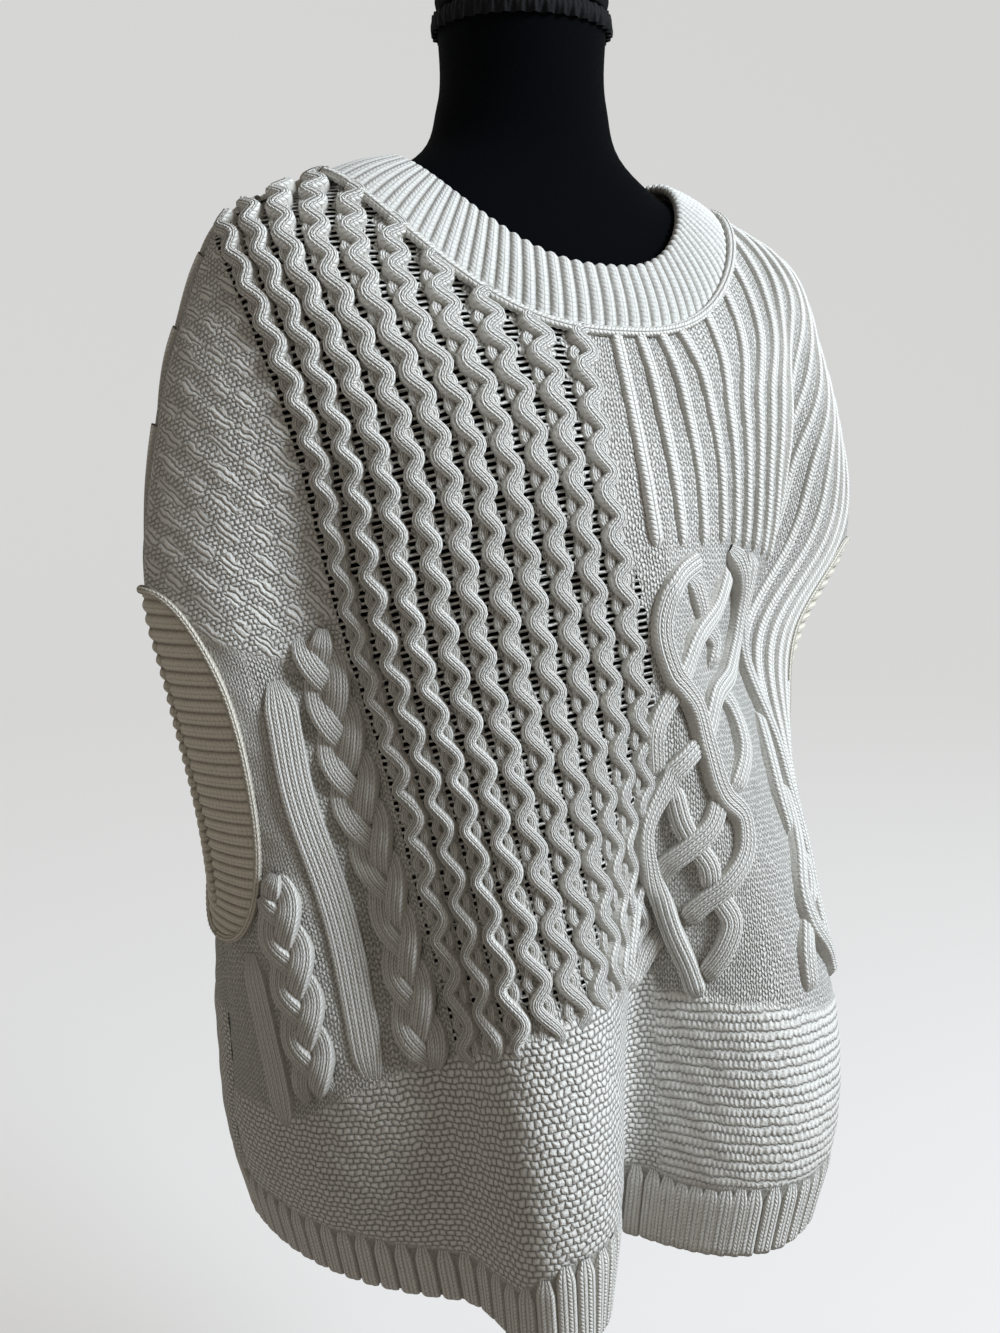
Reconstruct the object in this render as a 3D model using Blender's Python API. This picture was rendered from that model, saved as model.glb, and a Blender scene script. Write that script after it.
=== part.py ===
"""Knitted poncho sweater worn by a limbless dress form on a stand.

Metres, +Z up. The wearer faces -Y, so the wearer's left is +X. The origin is the middle of the
underside of the stand's base. The sweater is two knitted panels, front and back, joined along the
shoulders and the sides, with a ribbed collar and a ribbed armband round each armhole.
"""

from collections import namedtuple

import bpy
import numpy as np

# ---------------------------------------------------------------- driving dimensions, in metres
KNIT = 0.0035            # thickness of the panels' cloth
RIB = 0.0042             # thickness of the collar's and armbands' ribbed cloth
SEAM_GAP = 0.0003        # left open between two pieces at a seam
PERSON_HEIGHT = 1.30     # floor to the top of the stand's neck cap

ARMHOLE_LOW, ARMHOLE_HIGH = 0.335, 0.672   # where the armband starts and ends, as v (0 hem, 1 collar)
ARMBAND_WIDTH = 0.045
ARMBAND_ENDS = 0.026     # height of the armband under and over its slit, as v
SLIT_HALF = 0.008        # half of the widest opening of the slit
COLLAR_BULGE = 0.004     # how far the collar's middle stands out of a straight slope

BASE_RADIUS, BASE_HEIGHT = 0.170, 0.022
POLE_RADIUS = 0.0125
NECK_TOP = 1.250
NECK_RADIUS = 0.0545

# One row for each level ring of the sweater. v runs from 0 at the hem to 1 at the collar's seam.
# The heights are at the front centre, at the sides and at the back centre. right, left, front and
# back are the ring's reaches from the axis, and sharp is its superellipse power: 2 is an ellipse,
# and less gives the pinched sides where the wide panels hang flat from the shoulder.
Ring = namedtuple("Ring", "v z_front z_side z_back right left front back sharp_front sharp_back sharp_left")
RINGS = [
    Ring(0.00, 0.470, 0.470, 0.472, 0.208, 0.214, 0.190, 0.150, 2.00, 2.0, 2.00),
    Ring(0.09, 0.534, 0.530, 0.532, 0.222, 0.236, 0.200, 0.165, 2.00, 2.0, 2.00),
    Ring(0.20, 0.606, 0.600, 0.602, 0.226, 0.240, 0.196, 0.160, 2.00, 2.0, 2.00),
    Ring(0.34, 0.694, 0.680, 0.682, 0.228, 0.228, 0.182, 0.148, 1.90, 1.9, 1.90),
    Ring(0.46, 0.770, 0.750, 0.755, 0.236, 0.236, 0.174, 0.138, 1.75, 1.75, 1.50),
    Ring(0.58, 0.845, 0.830, 0.840, 0.252, 0.276, 0.168, 0.130, 1.55, 1.6, 1.06),
    Ring(0.68, 0.905, 0.905, 0.920, 0.265, 0.322, 0.162, 0.125, 1.45, 1.5, 1.10),
    Ring(0.78, 0.955, 0.985, 0.990, 0.254, 0.302, 0.152, 0.120, 1.55, 1.6, 1.30),
    Ring(0.87, 0.995, 1.055, 1.050, 0.234, 0.262, 0.138, 0.112, 1.70, 1.8, 1.60),
    Ring(0.94, 1.025, 1.112, 1.105, 0.204, 0.222, 0.124, 0.100, 1.90, 1.9, 1.85),
    Ring(1.00, 1.048, 1.140, 1.138, 0.148, 0.152, 0.110, 0.085, 2.10, 2.1, 2.10),
]

# One row for each drape fold: a ridge stands out (+) and a trough falls in (-) by height. Its line
# runs from angle_hem to angle_top (degrees from the face's centre, + to the wearer's left) and it
# is whole between v_low and v_full, and gone at v_end. The power squares off its flanks.
Fold = namedtuple("Fold", "face angle_hem angle_top v_low v_full v_end height width_hem width_top power")
FOLDS = [
    Fold("front", -24, -22, 0.00, 0.10, 0.66, 0.050, 11, 15, 3.0),
    Fold("front", -7, -2, 0.00, 0.10, 0.62, -0.050, 10, 12, 2.0),
    Fold("front", 20, 18, 0.00, 0.10, 0.66, 0.032, 16, 18, 2.4),
    Fold("front", -50, -56, 0.34, 0.55, 0.90, -0.020, 8, 9, 2.0),
    Fold("front", 50, 50, 0.72, 0.50, 1.00, -0.064, 6, 7, 2.0),
    Fold("back", -38, -30, 0.00, 0.08, 0.70, 0.022, 14, 16, 2.2),
    Fold("back", -8, -4, 0.00, 0.10, 0.60, -0.020, 13, 12, 2.0),
    Fold("back", 26, 20, 0.00, 0.12, 0.74, 0.026, 15, 17, 2.2),
    Fold("back", -56, -58, 0.34, 0.58, 0.92, -0.016, 8, 9, 2.0),
    Fold("back", 57, 60, 0.34, 0.58, 0.92, -0.016, 8, 9, 2.0),
]

# The collar's upper edge: heights at the front, the sides and the back, then its reaches.
Neckline = namedtuple("Neckline", "z_front z_side z_back right left front back")
NECKLINE = Neckline(1.087, 1.157, 1.160, 0.102, 0.110, 0.098, 0.071)

# One row for each level of the dress form: its half width and how far it reaches forward and back.
Level = namedtuple("Level", "z half front back")
FORM = [
    Level(0.500, 0.158, 0.095, 0.108),
    Level(0.600, 0.172, 0.100, 0.120),
    Level(0.720, 0.140, 0.092, 0.085),
    Level(0.800, 0.128, 0.092, 0.080),
    Level(0.900, 0.150, 0.124, 0.092),
    Level(0.970, 0.162, 0.128, 0.098),
    Level(1.050, 0.180, 0.098, 0.098),
    Level(1.095, 0.182, 0.078, 0.086),
    Level(1.120, 0.156, 0.066, 0.072),
    Level(1.140, 0.110, 0.060, 0.062),
    Level(1.160, 0.074, 0.056, 0.056),
    Level(1.195, NECK_RADIUS + 0.001, NECK_RADIUS, NECK_RADIUS),
    Level(NECK_TOP, NECK_RADIUS, NECK_RADIUS, NECK_RADIUS),
]

# Cuts of each mesh: rows below, beside and above the armhole, and columns across a panel.
ROWS_BELOW, ROWS_BESIDE, ROWS_ABOVE = 9, 14, 8
FRONT_COLUMNS, BACK_COLUMNS = 32, 24
TABLE_ROWS, TABLE_COLUMNS = 161, 241


# ---------------------------------------------------------------- curves and surfaces
def ease(x):
    """0 to 1 with level ends."""
    x = np.clip(x, 0.0, 1.0)
    return x * x * (3.0 - 2.0 * x)


def through(rows, column, x):
    """A smooth curve through one column of a table, against the table's first column."""
    xs = np.array([row[0] for row in rows], float)
    ys = np.array([getattr(row, column) for row in rows], float)
    slope = np.gradient(ys, xs)
    i = np.clip(np.searchsorted(xs, x, side="right") - 1, 0, len(xs) - 2)
    step = xs[i + 1] - xs[i]
    t = (x - xs[i]) / step
    return (
        (2 * t**3 - 3 * t**2 + 1) * ys[i]
        + (t**3 - 2 * t**2 + t) * step * slope[i]
        + (3 * t**2 - 2 * t**3) * ys[i + 1]
        + (t**3 - t**2) * step * slope[i + 1]
    )


def fold_push(face, angle, v):
    """How far the folds of one face push its cloth out."""
    push = np.zeros(np.broadcast(angle, v).shape)
    for fold in FOLDS:
        if fold.face != face:
            continue
        along = np.clip(v / fold.v_end, 0.0, 1.0)
        strength = ease((fold.v_end - v) / (fold.v_end - fold.v_full))
        if fold.v_low > 0:
            strength = strength * ease((v - 0.5 * fold.v_low) / (0.6 * fold.v_low))
        centre = np.radians(fold.angle_hem + (fold.angle_top - fold.angle_hem) * along)
        width = np.radians(fold.width_hem + (fold.width_top - fold.width_hem) * along)
        push += fold.height * strength * np.exp(-(np.abs(angle - centre) / width) ** fold.power)
    return push


def hung_cloth(face, angle, v):
    """The sweater's outside at an angle from the face's centre (-90 to 90 degrees) and a level v."""
    out = -1.0 if face == "front" else 1.0
    sin, cos = np.sin(angle), np.cos(angle)
    power = 2.0 / through(RINGS, "sharp_" + face, v)
    if face == "front":
        power = np.where(sin > 0, 2.0 / through(RINGS, "sharp_left", v), power)
    half = np.where(sin > 0, through(RINGS, "left", v), through(RINGS, "right", v))
    push = fold_push(face, angle, v)
    side = np.abs(sin) ** 2.5
    x = half * np.sign(sin) * np.abs(sin) ** power + push * sin
    y = out * (through(RINGS, face, v) * np.abs(cos) ** power + push * cos)
    z = through(RINGS, "z_" + face, v) * (1 - side) + through(RINGS, "z_side", v) * side
    return np.stack([x, y, z], -1)


def face_table(face):
    """Points, inward directions and half girths of one face on an even (v, share) grid.

    share is the distance round the ring from the face's centre, -1 at the wearer's right seam
    and 1 at the left one. The inward direction loses its part along Y close to the side seams,
    so that the two faces' walls never cross there.
    """
    v = np.linspace(0.0, 1.0, TABLE_ROWS)[:, None]
    angle = np.linspace(-np.pi / 2, np.pi / 2, 4 * TABLE_COLUMNS)[None, :]
    fine = hung_cloth(face, angle, v)
    share = np.linspace(-1.0, 1.0, TABLE_COLUMNS)
    points = np.empty((TABLE_ROWS, TABLE_COLUMNS, 3))
    girth = np.empty(TABLE_ROWS)
    middle = fine.shape[1] // 2
    for row in range(TABLE_ROWS):
        steps = np.linalg.norm(np.diff(fine[row], axis=0), axis=1)
        run = np.concatenate([[0.0], np.cumsum(steps)]) - steps[:middle].sum()
        girth[row] = 0.5 * (run[-1] - run[0])
        place = np.where(run < 0, -run / run[0], run / run[-1])
        for axis in range(3):
            points[row, :, axis] = np.interp(share, place, fine[row, :, axis])
    normal = np.cross(np.gradient(points, axis=1), np.gradient(points, axis=0))
    normal *= 1.0 if face == "front" else -1.0
    normal /= np.linalg.norm(normal, axis=-1, keepdims=True)
    normal[..., 1] *= ease(np.abs(points[..., 1]) / 0.012)
    normal /= np.linalg.norm(normal, axis=-1, keepdims=True)
    return points, -normal, girth


def sample(grid, share, v):
    """Values of an even (v, share) grid between its nodes."""
    row = np.clip(v, 0.0, 1.0) * (TABLE_ROWS - 1)
    column = (np.clip(share, -1.0, 1.0) + 1.0) / 2.0 * (TABLE_COLUMNS - 1)
    r = np.minimum(row.astype(int), TABLE_ROWS - 2)
    c = np.minimum(column.astype(int), TABLE_COLUMNS - 2)
    fr, fc = (row - r)[..., None], (column - c)[..., None]
    low = grid[r, c] * (1 - fc) + grid[r, c + 1] * fc
    high = grid[r + 1, c] * (1 - fc) + grid[r + 1, c + 1] * fc
    return low * (1 - fr) + high * fr


# ---------------------------------------------------------------- meshes
def knit_material(name, colour, roughness, metallic=0.0):
    material = bpy.data.materials.new(name)
    material.use_nodes = True
    shader = material.node_tree.nodes["Principled BSDF"]
    shader.inputs["Base Color"].default_value = (*colour, 1.0)
    shader.inputs["Roughness"].default_value = roughness
    shader.inputs["Metallic"].default_value = metallic
    material.diffuse_color = (*colour, 1.0)
    return material


def add_object(name, points, faces, material):
    mesh = bpy.data.meshes.new(name)
    mesh.from_pydata([tuple(p) for p in points], [], [tuple(f) for f in faces])
    mesh.materials.append(material)
    mesh.validate()
    corners = np.array([mesh.vertices[i].co for f in faces for i in (f[0], f[1], f[2])]).reshape(-1, 3, 3)
    if np.linalg.det(corners - points.mean(axis=0)).sum() < 0:
        mesh.flip_normals()
    obj = bpy.data.objects.new(name, mesh)
    bpy.context.collection.objects.link(obj)
    return obj


def quads(index):
    """Quads between the neighbours of a grid of vertex numbers."""
    return np.stack([index[:-1, :-1], index[:-1, 1:], index[1:, 1:], index[1:, :-1]], -1).reshape(-1, 4)


def wall(name, outer, inner, material, ring=False):
    """A closed wall between two grids of points. A ring's last row joins its first."""
    rows, columns = outer.shape[:2]
    points = np.concatenate([outer.reshape(-1, 3), inner.reshape(-1, 3)])
    near = np.arange(rows * columns).reshape(rows, columns)
    if ring:
        near = np.vstack([near, near[:1]])
    far = near + rows * columns
    faces = [quads(near), quads(far)[:, ::-1]]
    faces.append(quads(np.stack([far[:, 0], near[:, 0]], 1)))
    faces.append(quads(np.stack([near[:, -1], far[:, -1]], 1)))
    if not ring:
        faces.append(quads(np.stack([near[0], far[0]], 1)))
        faces.append(quads(np.stack([far[-1], near[-1]], 1)))
    return add_object(name, points, np.concatenate(faces), material)


def turned(name, rows, material, columns=40):
    """A closed solid from level outlines, each (z, half width, forward reach, backward reach)."""
    angle = np.arange(columns) * 2 * np.pi / columns
    rings = []
    for z, half, front, back in rows:
        reach = np.where(np.cos(angle) > 0, front, back)
        rings.append(np.stack([half * np.sin(angle), -reach * np.cos(angle), np.full(columns, z)], -1))
    points = np.concatenate(rings)
    index = np.arange(len(points)).reshape(len(rows), columns)
    faces = [tuple(f) for f in quads(np.hstack([index, index[:, :1]]))]
    faces += [tuple(index[0][::-1]), tuple(index[-1])]
    return add_object(name, points, faces, material)


# ---------------------------------------------------------------- the sweater
def armhole(theta, half_height, half_width, girth):
    """The armhole's outline: (distance from the side seam as a share, v) at an angle from below."""
    middle = (ARMHOLE_LOW + ARMHOLE_HIGH) / 2
    power = 2.0 / 2.6
    v = middle - half_height * np.sign(np.cos(theta)) * np.abs(np.cos(theta)) ** power
    width = half_width * np.abs(np.sin(theta)) ** power
    return width / np.interp(v, np.linspace(0, 1, TABLE_ROWS), girth), v


def panel(face, columns, material):
    """One knitted panel, from its hem to the collar's seam, cut away round both armholes."""
    points, inward, girth = TABLES[face]
    theta = np.linspace(0, np.pi, ROWS_BESIDE + 1)
    half_height = (ARMHOLE_HIGH - ARMHOLE_LOW) / 2
    cut, v_beside = armhole(theta, half_height, ARMBAND_WIDTH + SLIT_HALF + SEAM_GAP, girth)
    v_below = np.linspace(0.0, ARMHOLE_LOW, ROWS_BELOW + 1)[:-1]
    v_above = np.linspace(ARMHOLE_HIGH, 1.0, ROWS_ABOVE + 1)[1:]
    v = np.concatenate([v_below, v_beside, v_above])
    edge = np.concatenate([np.ones(ROWS_BELOW), 1.0 - cut, np.ones(ROWS_ABOVE)])
    share = np.linspace(-1.0, 1.0, columns + 1)[None, :] * edge[:, None]
    level = np.repeat(v[:, None], columns + 1, axis=1)
    outer = sample(points, share, level)
    inner = outer + KNIT * sample(inward, share, level)
    apart = np.array([0.0, -1.0 if face == "front" else 1.0, 0.0]) * SEAM_GAP / 2
    return wall(face, outer + apart, inner + apart, material)


def armband(name, side, material):
    """The ribbed band round one armhole: from the panels' cut edge in to the slit."""
    half_height = (ARMHOLE_HIGH - ARMHOLE_LOW) / 2
    reach = [
        (half_height - SEAM_GAP, ARMBAND_WIDTH + SLIT_HALF),
        (half_height - 0.45 * ARMBAND_ENDS, 0.55 * ARMBAND_WIDTH + SLIT_HALF),
        (half_height - ARMBAND_ENDS, SLIT_HALF),
    ]
    theta = np.linspace(0, np.pi, ROWS_BESIDE + 1)
    halves = []
    for face in ("front", "back"):
        points, inward, girth = TABLES[face]
        outer, inner = [], []
        for height, width in reach:
            cut, v = armhole(theta, height, width, girth)
            outer.append(sample(points, side * (1.0 - cut), v))
            inner.append(outer[-1] + RIB * sample(inward, side * (1.0 - cut), v))
        halves.append((np.stack(outer, 1), np.stack(inner, 1)))
    front, back = halves
    outer = np.concatenate([front[0], back[0][-2:0:-1]])
    inner = np.concatenate([front[1], back[1][-2:0:-1]])
    return wall(name, outer, inner, material, ring=True)


def collar(material, columns=44, rows=4):
    """The ribbed collar: a band from the panels' top edge up to the neckline, all round."""
    share = np.linspace(-1.0, 1.0, columns // 2 + 1)
    top = np.ones_like(share)
    edge, inward = [], []
    for face, order in (("front", slice(None)), ("back", slice(-2, 0, -1))):
        points, directions, _ = TABLES[face]
        edge.append(sample(points, share, top)[order])
        inward.append(sample(directions, share, top)[order])
    edge, inward = np.concatenate(edge), np.concatenate(inward)
    half = np.where(edge[:, 0] > 0, NECKLINE.left, NECKLINE.right)
    reach = np.where(edge[:, 1] < 0, NECKLINE.front, NECKLINE.back)
    angle = np.arctan2(edge[:, 0] / half, -edge[:, 1] / reach)
    side = np.abs(np.sin(angle)) ** 2.5
    height = np.where(edge[:, 1] < 0, NECKLINE.z_front, NECKLINE.z_back)
    line = np.stack(
        [half * np.sin(angle), -reach * np.cos(angle), height * (1 - side) + NECKLINE.z_side * side], -1
    )
    run = (line - edge) / np.linalg.norm(line - edge, axis=1, keepdims=True)
    start = edge + run * 2 * SEAM_GAP
    along = np.gradient(np.vstack([line[-1:], line, line[:1]]), axis=0)[1:-1]
    out = np.cross(run, along)
    out /= np.linalg.norm(out, axis=1, keepdims=True)
    out *= np.sign((out * -inward).sum(axis=1, keepdims=True))
    outer, inner = [], []
    for k in np.linspace(0.0, 1.0, rows + 1):
        point = start + (line - start) * k + out * COLLAR_BULGE * np.sin(np.pi * k)
        thick = inward * (1 - ease(2 * k)) - out * ease(2 * k)
        outer.append(point)
        inner.append(point + RIB * thick / np.linalg.norm(thick, axis=1, keepdims=True))
    return wall("collar", np.stack(outer, 1), np.stack(inner, 1), material, ring=True)


# ---------------------------------------------------------------- the dress form and its stand
def dress_form(material, levels=44):
    z = np.linspace(FORM[0].z, FORM[-1].z, levels)
    rows = [(h, *(float(through(FORM, name, h)) for name in ("half", "front", "back"))) for h in z]
    low = FORM[0]
    foot = [(low.z, 0.9 * low.half, 0.88 * low.front, 0.88 * low.back)]
    rows[0] = (low.z + 0.006, low.half, low.front, low.back)
    return turned("dress_form", foot + rows, material)


def neck_finish(cap_material, trim_material):
    """The plain domed cap on the neck, and the gathered trim round the neck's top edge."""
    dome = [(NECK_TOP + SEAM_GAP, 1.0), (NECK_TOP + 0.012, 1.02), (NECK_TOP + 0.026, 0.93)]
    dome += [(NECK_TOP + 0.038, 0.72), (PERSON_HEIGHT - 0.004, 0.42), (PERSON_HEIGHT, 0.12)]
    turned("neck_cap", [(z, *[NECK_RADIUS * share] * 3) for z, share in dome], cap_material)
    angle = np.arange(48) * 2 * np.pi / 48
    wave = 0.0012 * np.cos(12 * angle)
    profile = [(-0.016, 0.004), (-0.006, 0.0062), (0.004, 0.005)]
    spoke = np.stack([np.sin(angle), -np.cos(angle), np.zeros_like(angle)], -1)
    outer, inner = [], []
    for height, out in profile:
        level = np.array([0.0, 0.0, NECK_TOP - 0.008 + height])
        outer.append(spoke * (NECK_RADIUS + 0.0015 + out + wave)[:, None] + level)
        inner.append(spoke * (NECK_RADIUS + 0.0014) + level)
    wall("neck_trim", np.stack(outer, 1), np.stack(inner, 1), trim_material, ring=True)


def stand(pole_material, base_material):
    soft = 0.004
    base = [(0.0, BASE_RADIUS - soft), (soft, BASE_RADIUS), (BASE_HEIGHT - soft, BASE_RADIUS - 0.004)]
    base += [(BASE_HEIGHT, BASE_RADIUS - 0.012)]
    turned("stand_base", [(z, r, r, r) for z, r in base], base_material, columns=64)
    ends = [BASE_HEIGHT + SEAM_GAP, FORM[0].z - SEAM_GAP]
    turned("stand_pole", [(z, POLE_RADIUS, POLE_RADIUS, POLE_RADIUS) for z in ends], pole_material, columns=32)


for old in list(bpy.data.objects):
    bpy.data.objects.remove(old, do_unlink=True)

TABLES = {face: face_table(face) for face in ("front", "back")}
ivory = (0.800, 0.775, 0.720)
panel("front", FRONT_COLUMNS, knit_material("front_knit", ivory, 0.95))
panel("back", BACK_COLUMNS, knit_material("back_knit", ivory, 0.95))
collar(knit_material("collar_rib", (0.810, 0.790, 0.740), 0.95))
armband("armband_right", -1, knit_material("armband_right_rib", (0.790, 0.750, 0.665), 0.95))
armband("armband_left", 1, knit_material("armband_left_rib", (0.790, 0.750, 0.665), 0.95))
dress_form(knit_material("form_jersey", (0.010, 0.010, 0.012), 0.90))
neck_finish(
    knit_material("cap_cloth", (0.010, 0.010, 0.012), 0.85),
    knit_material("trim_lace", (0.008, 0.008, 0.009), 0.75),
)
stand(
    knit_material("pole_steel", (0.030, 0.030, 0.032), 0.35, 0.9),
    knit_material("base_steel", (0.022, 0.022, 0.024), 0.45, 0.6),
)
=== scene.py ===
"""The looks of a hand-finished aran poncho sweater on a black dress form.

Metres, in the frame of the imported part: +Z up, the wearer faces -Y and the wearer's left is +X.
Every knitted panel is one thin sheet. A place on it is a face ("front" or "back"), a share of the
way round from the face's centre line (-1 at the wearer's right seam, 1 at the left one) and a
level v (0 at the hem, 1 at the collar's seam). A stitch's own place is its wale, metres of knitting
from the centre stitch, and its course, metres of knitting above the hem.
"""

from collections import namedtuple

import bpy
import numpy as np
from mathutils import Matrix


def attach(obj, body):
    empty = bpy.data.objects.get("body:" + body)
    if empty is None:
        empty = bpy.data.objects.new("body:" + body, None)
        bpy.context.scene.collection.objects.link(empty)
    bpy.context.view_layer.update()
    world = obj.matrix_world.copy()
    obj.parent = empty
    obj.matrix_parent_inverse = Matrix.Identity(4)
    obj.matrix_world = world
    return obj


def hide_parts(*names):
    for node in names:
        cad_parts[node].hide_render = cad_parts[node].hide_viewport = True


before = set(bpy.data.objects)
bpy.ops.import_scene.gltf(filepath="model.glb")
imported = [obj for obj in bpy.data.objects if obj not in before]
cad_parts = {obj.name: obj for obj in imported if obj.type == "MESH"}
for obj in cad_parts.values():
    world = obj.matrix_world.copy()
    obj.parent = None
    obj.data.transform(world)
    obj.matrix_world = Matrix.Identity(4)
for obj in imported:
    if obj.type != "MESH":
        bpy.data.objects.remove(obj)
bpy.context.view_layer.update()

# ---------------------------------------------------------------- sizes, in metres
ARMHOLE_LOW, ARMHOLE_HIGH = 0.335, 0.672
ARMBAND_WIDTH, ARMBAND_ENDS, SLIT_HALF = 0.045, 0.026, 0.008
SEAM_GAP = 0.0003
COLLAR_BULGE = 0.002
NECK_TOP, NECK_RADIUS = 1.250, 0.0545
BASE_RADIUS, POLE_RADIUS = 0.170, 0.0125

WALE, COURSE = 0.0041, 0.0029      # one stitch's width and height
HEM_ROLL = 0.0018                  # radius of the cloth's turn under the hem
HEM_DROP = 0.66                    # metres of cloth for one unit of v
GROUND = -0.0010                   # the ground cloth lies this far under the solid's outside
WAVE_PITCH, WAVE_COUNT, WAVE_LENGTH = 0.0204, 10, 0.031
RIB_PITCH = 0.0205
HEM_RIB_PITCH = 0.0122
WAVE_WIDTH, WAVE_HEIGHT = 0.0086, 0.0056           # the plump cord of a wave
WAVE_SHIFT, UNDER_SHIFT, UNDER_SWING = 0.0008, -0.0006, 1.05
PLAIT_NEAR, PLAIT_FAR = -0.245, -0.315             # wales of the two plaits
BAND_NEAR, BAND_FAR = -0.2795, -0.3480             # wales of the two flat rib bands
BAND_WIDTH, BAND_HEIGHT = 0.0200, 0.0034
COLLAR_CORD, ARMBAND_CORD = 0.0032, 0.0023         # radii of the seam cords

# The level rings of the sweater, as in the part: heights at the front centre, the sides and the
# back centre, the ring's reaches, and its superellipse powers.
Ring = namedtuple("Ring", "v z_front z_side z_back right left front back "
                          "sharp_front sharp_back sharp_left")
RINGS = [
    Ring(0.00, 0.470, 0.470, 0.472, 0.208, 0.214, 0.190, 0.150, 2.00, 2.0, 2.00),
    Ring(0.09, 0.534, 0.530, 0.532, 0.222, 0.236, 0.200, 0.165, 2.00, 2.0, 2.00),
    Ring(0.20, 0.606, 0.600, 0.602, 0.226, 0.240, 0.196, 0.160, 2.00, 2.0, 2.00),
    Ring(0.34, 0.694, 0.680, 0.682, 0.228, 0.228, 0.182, 0.148, 1.90, 1.9, 1.90),
    Ring(0.46, 0.770, 0.750, 0.755, 0.236, 0.236, 0.174, 0.138, 1.75, 1.75, 1.50),
    Ring(0.58, 0.845, 0.830, 0.840, 0.252, 0.276, 0.168, 0.130, 1.55, 1.6, 1.06),
    Ring(0.68, 0.905, 0.905, 0.920, 0.265, 0.322, 0.162, 0.125, 1.45, 1.5, 1.10),
    Ring(0.78, 0.955, 0.985, 0.990, 0.254, 0.302, 0.152, 0.120, 1.55, 1.6, 1.30),
    Ring(0.87, 0.995, 1.055, 1.050, 0.234, 0.262, 0.138, 0.112, 1.70, 1.8, 1.60),
    Ring(0.94, 1.025, 1.112, 1.105, 0.204, 0.222, 0.124, 0.100, 1.90, 1.9, 1.85),
    Ring(1.00, 1.048, 1.140, 1.138, 0.148, 0.152, 0.110, 0.085, 2.10, 2.1, 2.10),
]

# The drape folds, as in the part: out (+) or in (-) by height along a line of angles.
Fold = namedtuple("Fold", "face angle_hem angle_top v_low v_full v_end height width_hem width_top power")
FOLDS = [
    Fold("front", -24, -22, 0.00, 0.10, 0.66, 0.050, 11, 15, 3.0),
    Fold("front", -7, -2, 0.00, 0.10, 0.62, -0.050, 10, 12, 2.0),
    Fold("front", 20, 18, 0.00, 0.10, 0.66, 0.032, 16, 18, 2.4),
    Fold("front", -50, -56, 0.34, 0.55, 0.90, -0.020, 8, 9, 2.0),
    Fold("front", 50, 50, 0.72, 0.50, 1.00, -0.064, 6, 7, 2.0),
    Fold("back", -38, -30, 0.00, 0.08, 0.70, 0.022, 14, 16, 2.2),
    Fold("back", -8, -4, 0.00, 0.10, 0.60, -0.020, 13, 12, 2.0),
    Fold("back", 26, 20, 0.00, 0.12, 0.74, 0.026, 15, 17, 2.2),
    Fold("back", -56, -58, 0.34, 0.58, 0.92, -0.016, 8, 9, 2.0),
    Fold("back", 57, 60, 0.34, 0.58, 0.92, -0.016, 8, 9, 2.0),
]

Neckline = namedtuple("Neckline", "z_front z_side z_back right left front back")
NECKLINE = Neckline(1.087, 1.157, 1.160, 0.102, 0.110, 0.098, 0.071)

Level = namedtuple("Level", "z half front back")
FORM = [
    Level(0.500, 0.158, 0.095, 0.108),
    Level(0.600, 0.172, 0.100, 0.120),
    Level(0.720, 0.140, 0.092, 0.085),
    Level(0.800, 0.128, 0.092, 0.080),
    Level(0.900, 0.150, 0.124, 0.092),
    Level(0.970, 0.162, 0.128, 0.098),
    Level(1.050, 0.180, 0.098, 0.098),
    Level(1.095, 0.182, 0.078, 0.086),
    Level(1.120, 0.156, 0.066, 0.072),
    Level(1.140, 0.110, 0.060, 0.062),
    Level(1.160, 0.074, 0.056, 0.056),
    Level(1.195, NECK_RADIUS + 0.001, NECK_RADIUS, NECK_RADIUS),
    Level(NECK_TOP, NECK_RADIUS, NECK_RADIUS, NECK_RADIUS),
]

# Where nine stitch columns of the front run: each one's share at a level. Between them the
# knitting spreads evenly. GUIDE_WALES says which wale each one is.
Guide = namedtuple("Guide", "v rib_far braid_far rib_near braid_near wave_0 wave_9 rib_4 rib_9 edge")
GUIDES = [
    Guide(0.00, -0.855, -0.765, -0.655, -0.575, -0.490, -0.035, 0.155, 0.440, 0.900),
    Guide(0.10, -0.850, -0.760, -0.655, -0.575, -0.490, -0.035, 0.150, 0.430, 0.890),
    Guide(0.20, -0.860, -0.775, -0.665, -0.585, -0.500, -0.040, 0.151, 0.432, 0.880),
    Guide(0.30, -0.895, -0.797, -0.684, -0.597, -0.507, -0.045, 0.169, 0.454, 0.844),
    Guide(0.40, -0.930, -0.822, -0.700, -0.612, -0.515, -0.055, 0.174, 0.451, 0.833),
    Guide(0.50, -0.950, -0.845, -0.735, -0.645, -0.533, -0.072, 0.177, 0.431, 0.854),
    Guide(0.60, -0.960, -0.855, -0.747, -0.667, -0.582, -0.088, 0.179, 0.402, 0.922),
    Guide(0.70, -1.030, -0.910, -0.785, -0.700, -0.618, -0.106, 0.182, 0.398, 1.030),
    Guide(0.80, -1.160, -1.020, -0.880, -0.780, -0.675, -0.121, 0.188, 0.418, 1.170),
    Guide(0.85, -1.260, -1.100, -0.950, -0.840, -0.730, -0.125, 0.192, 0.452, 1.310),
    Guide(0.90, -1.430, -1.260, -1.090, -0.970, -0.840, -0.126, 0.199, 0.514, 1.490),
    Guide(0.95, -1.700, -1.540, -1.360, -1.220, -1.060, -0.124, 0.208, 0.663, 1.720),
    Guide(1.00, -2.100, -1.900, -1.700, -1.550, -1.400, -0.120, 0.225, 0.940, 2.000),
]
GUIDE_WALES = np.array([-0.350, -0.315, -0.275, -0.245, -0.2136, -0.030, 0.0615, 0.161, 0.390])
FIRST_WAVE = GUIDE_WALES[4]

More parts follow.
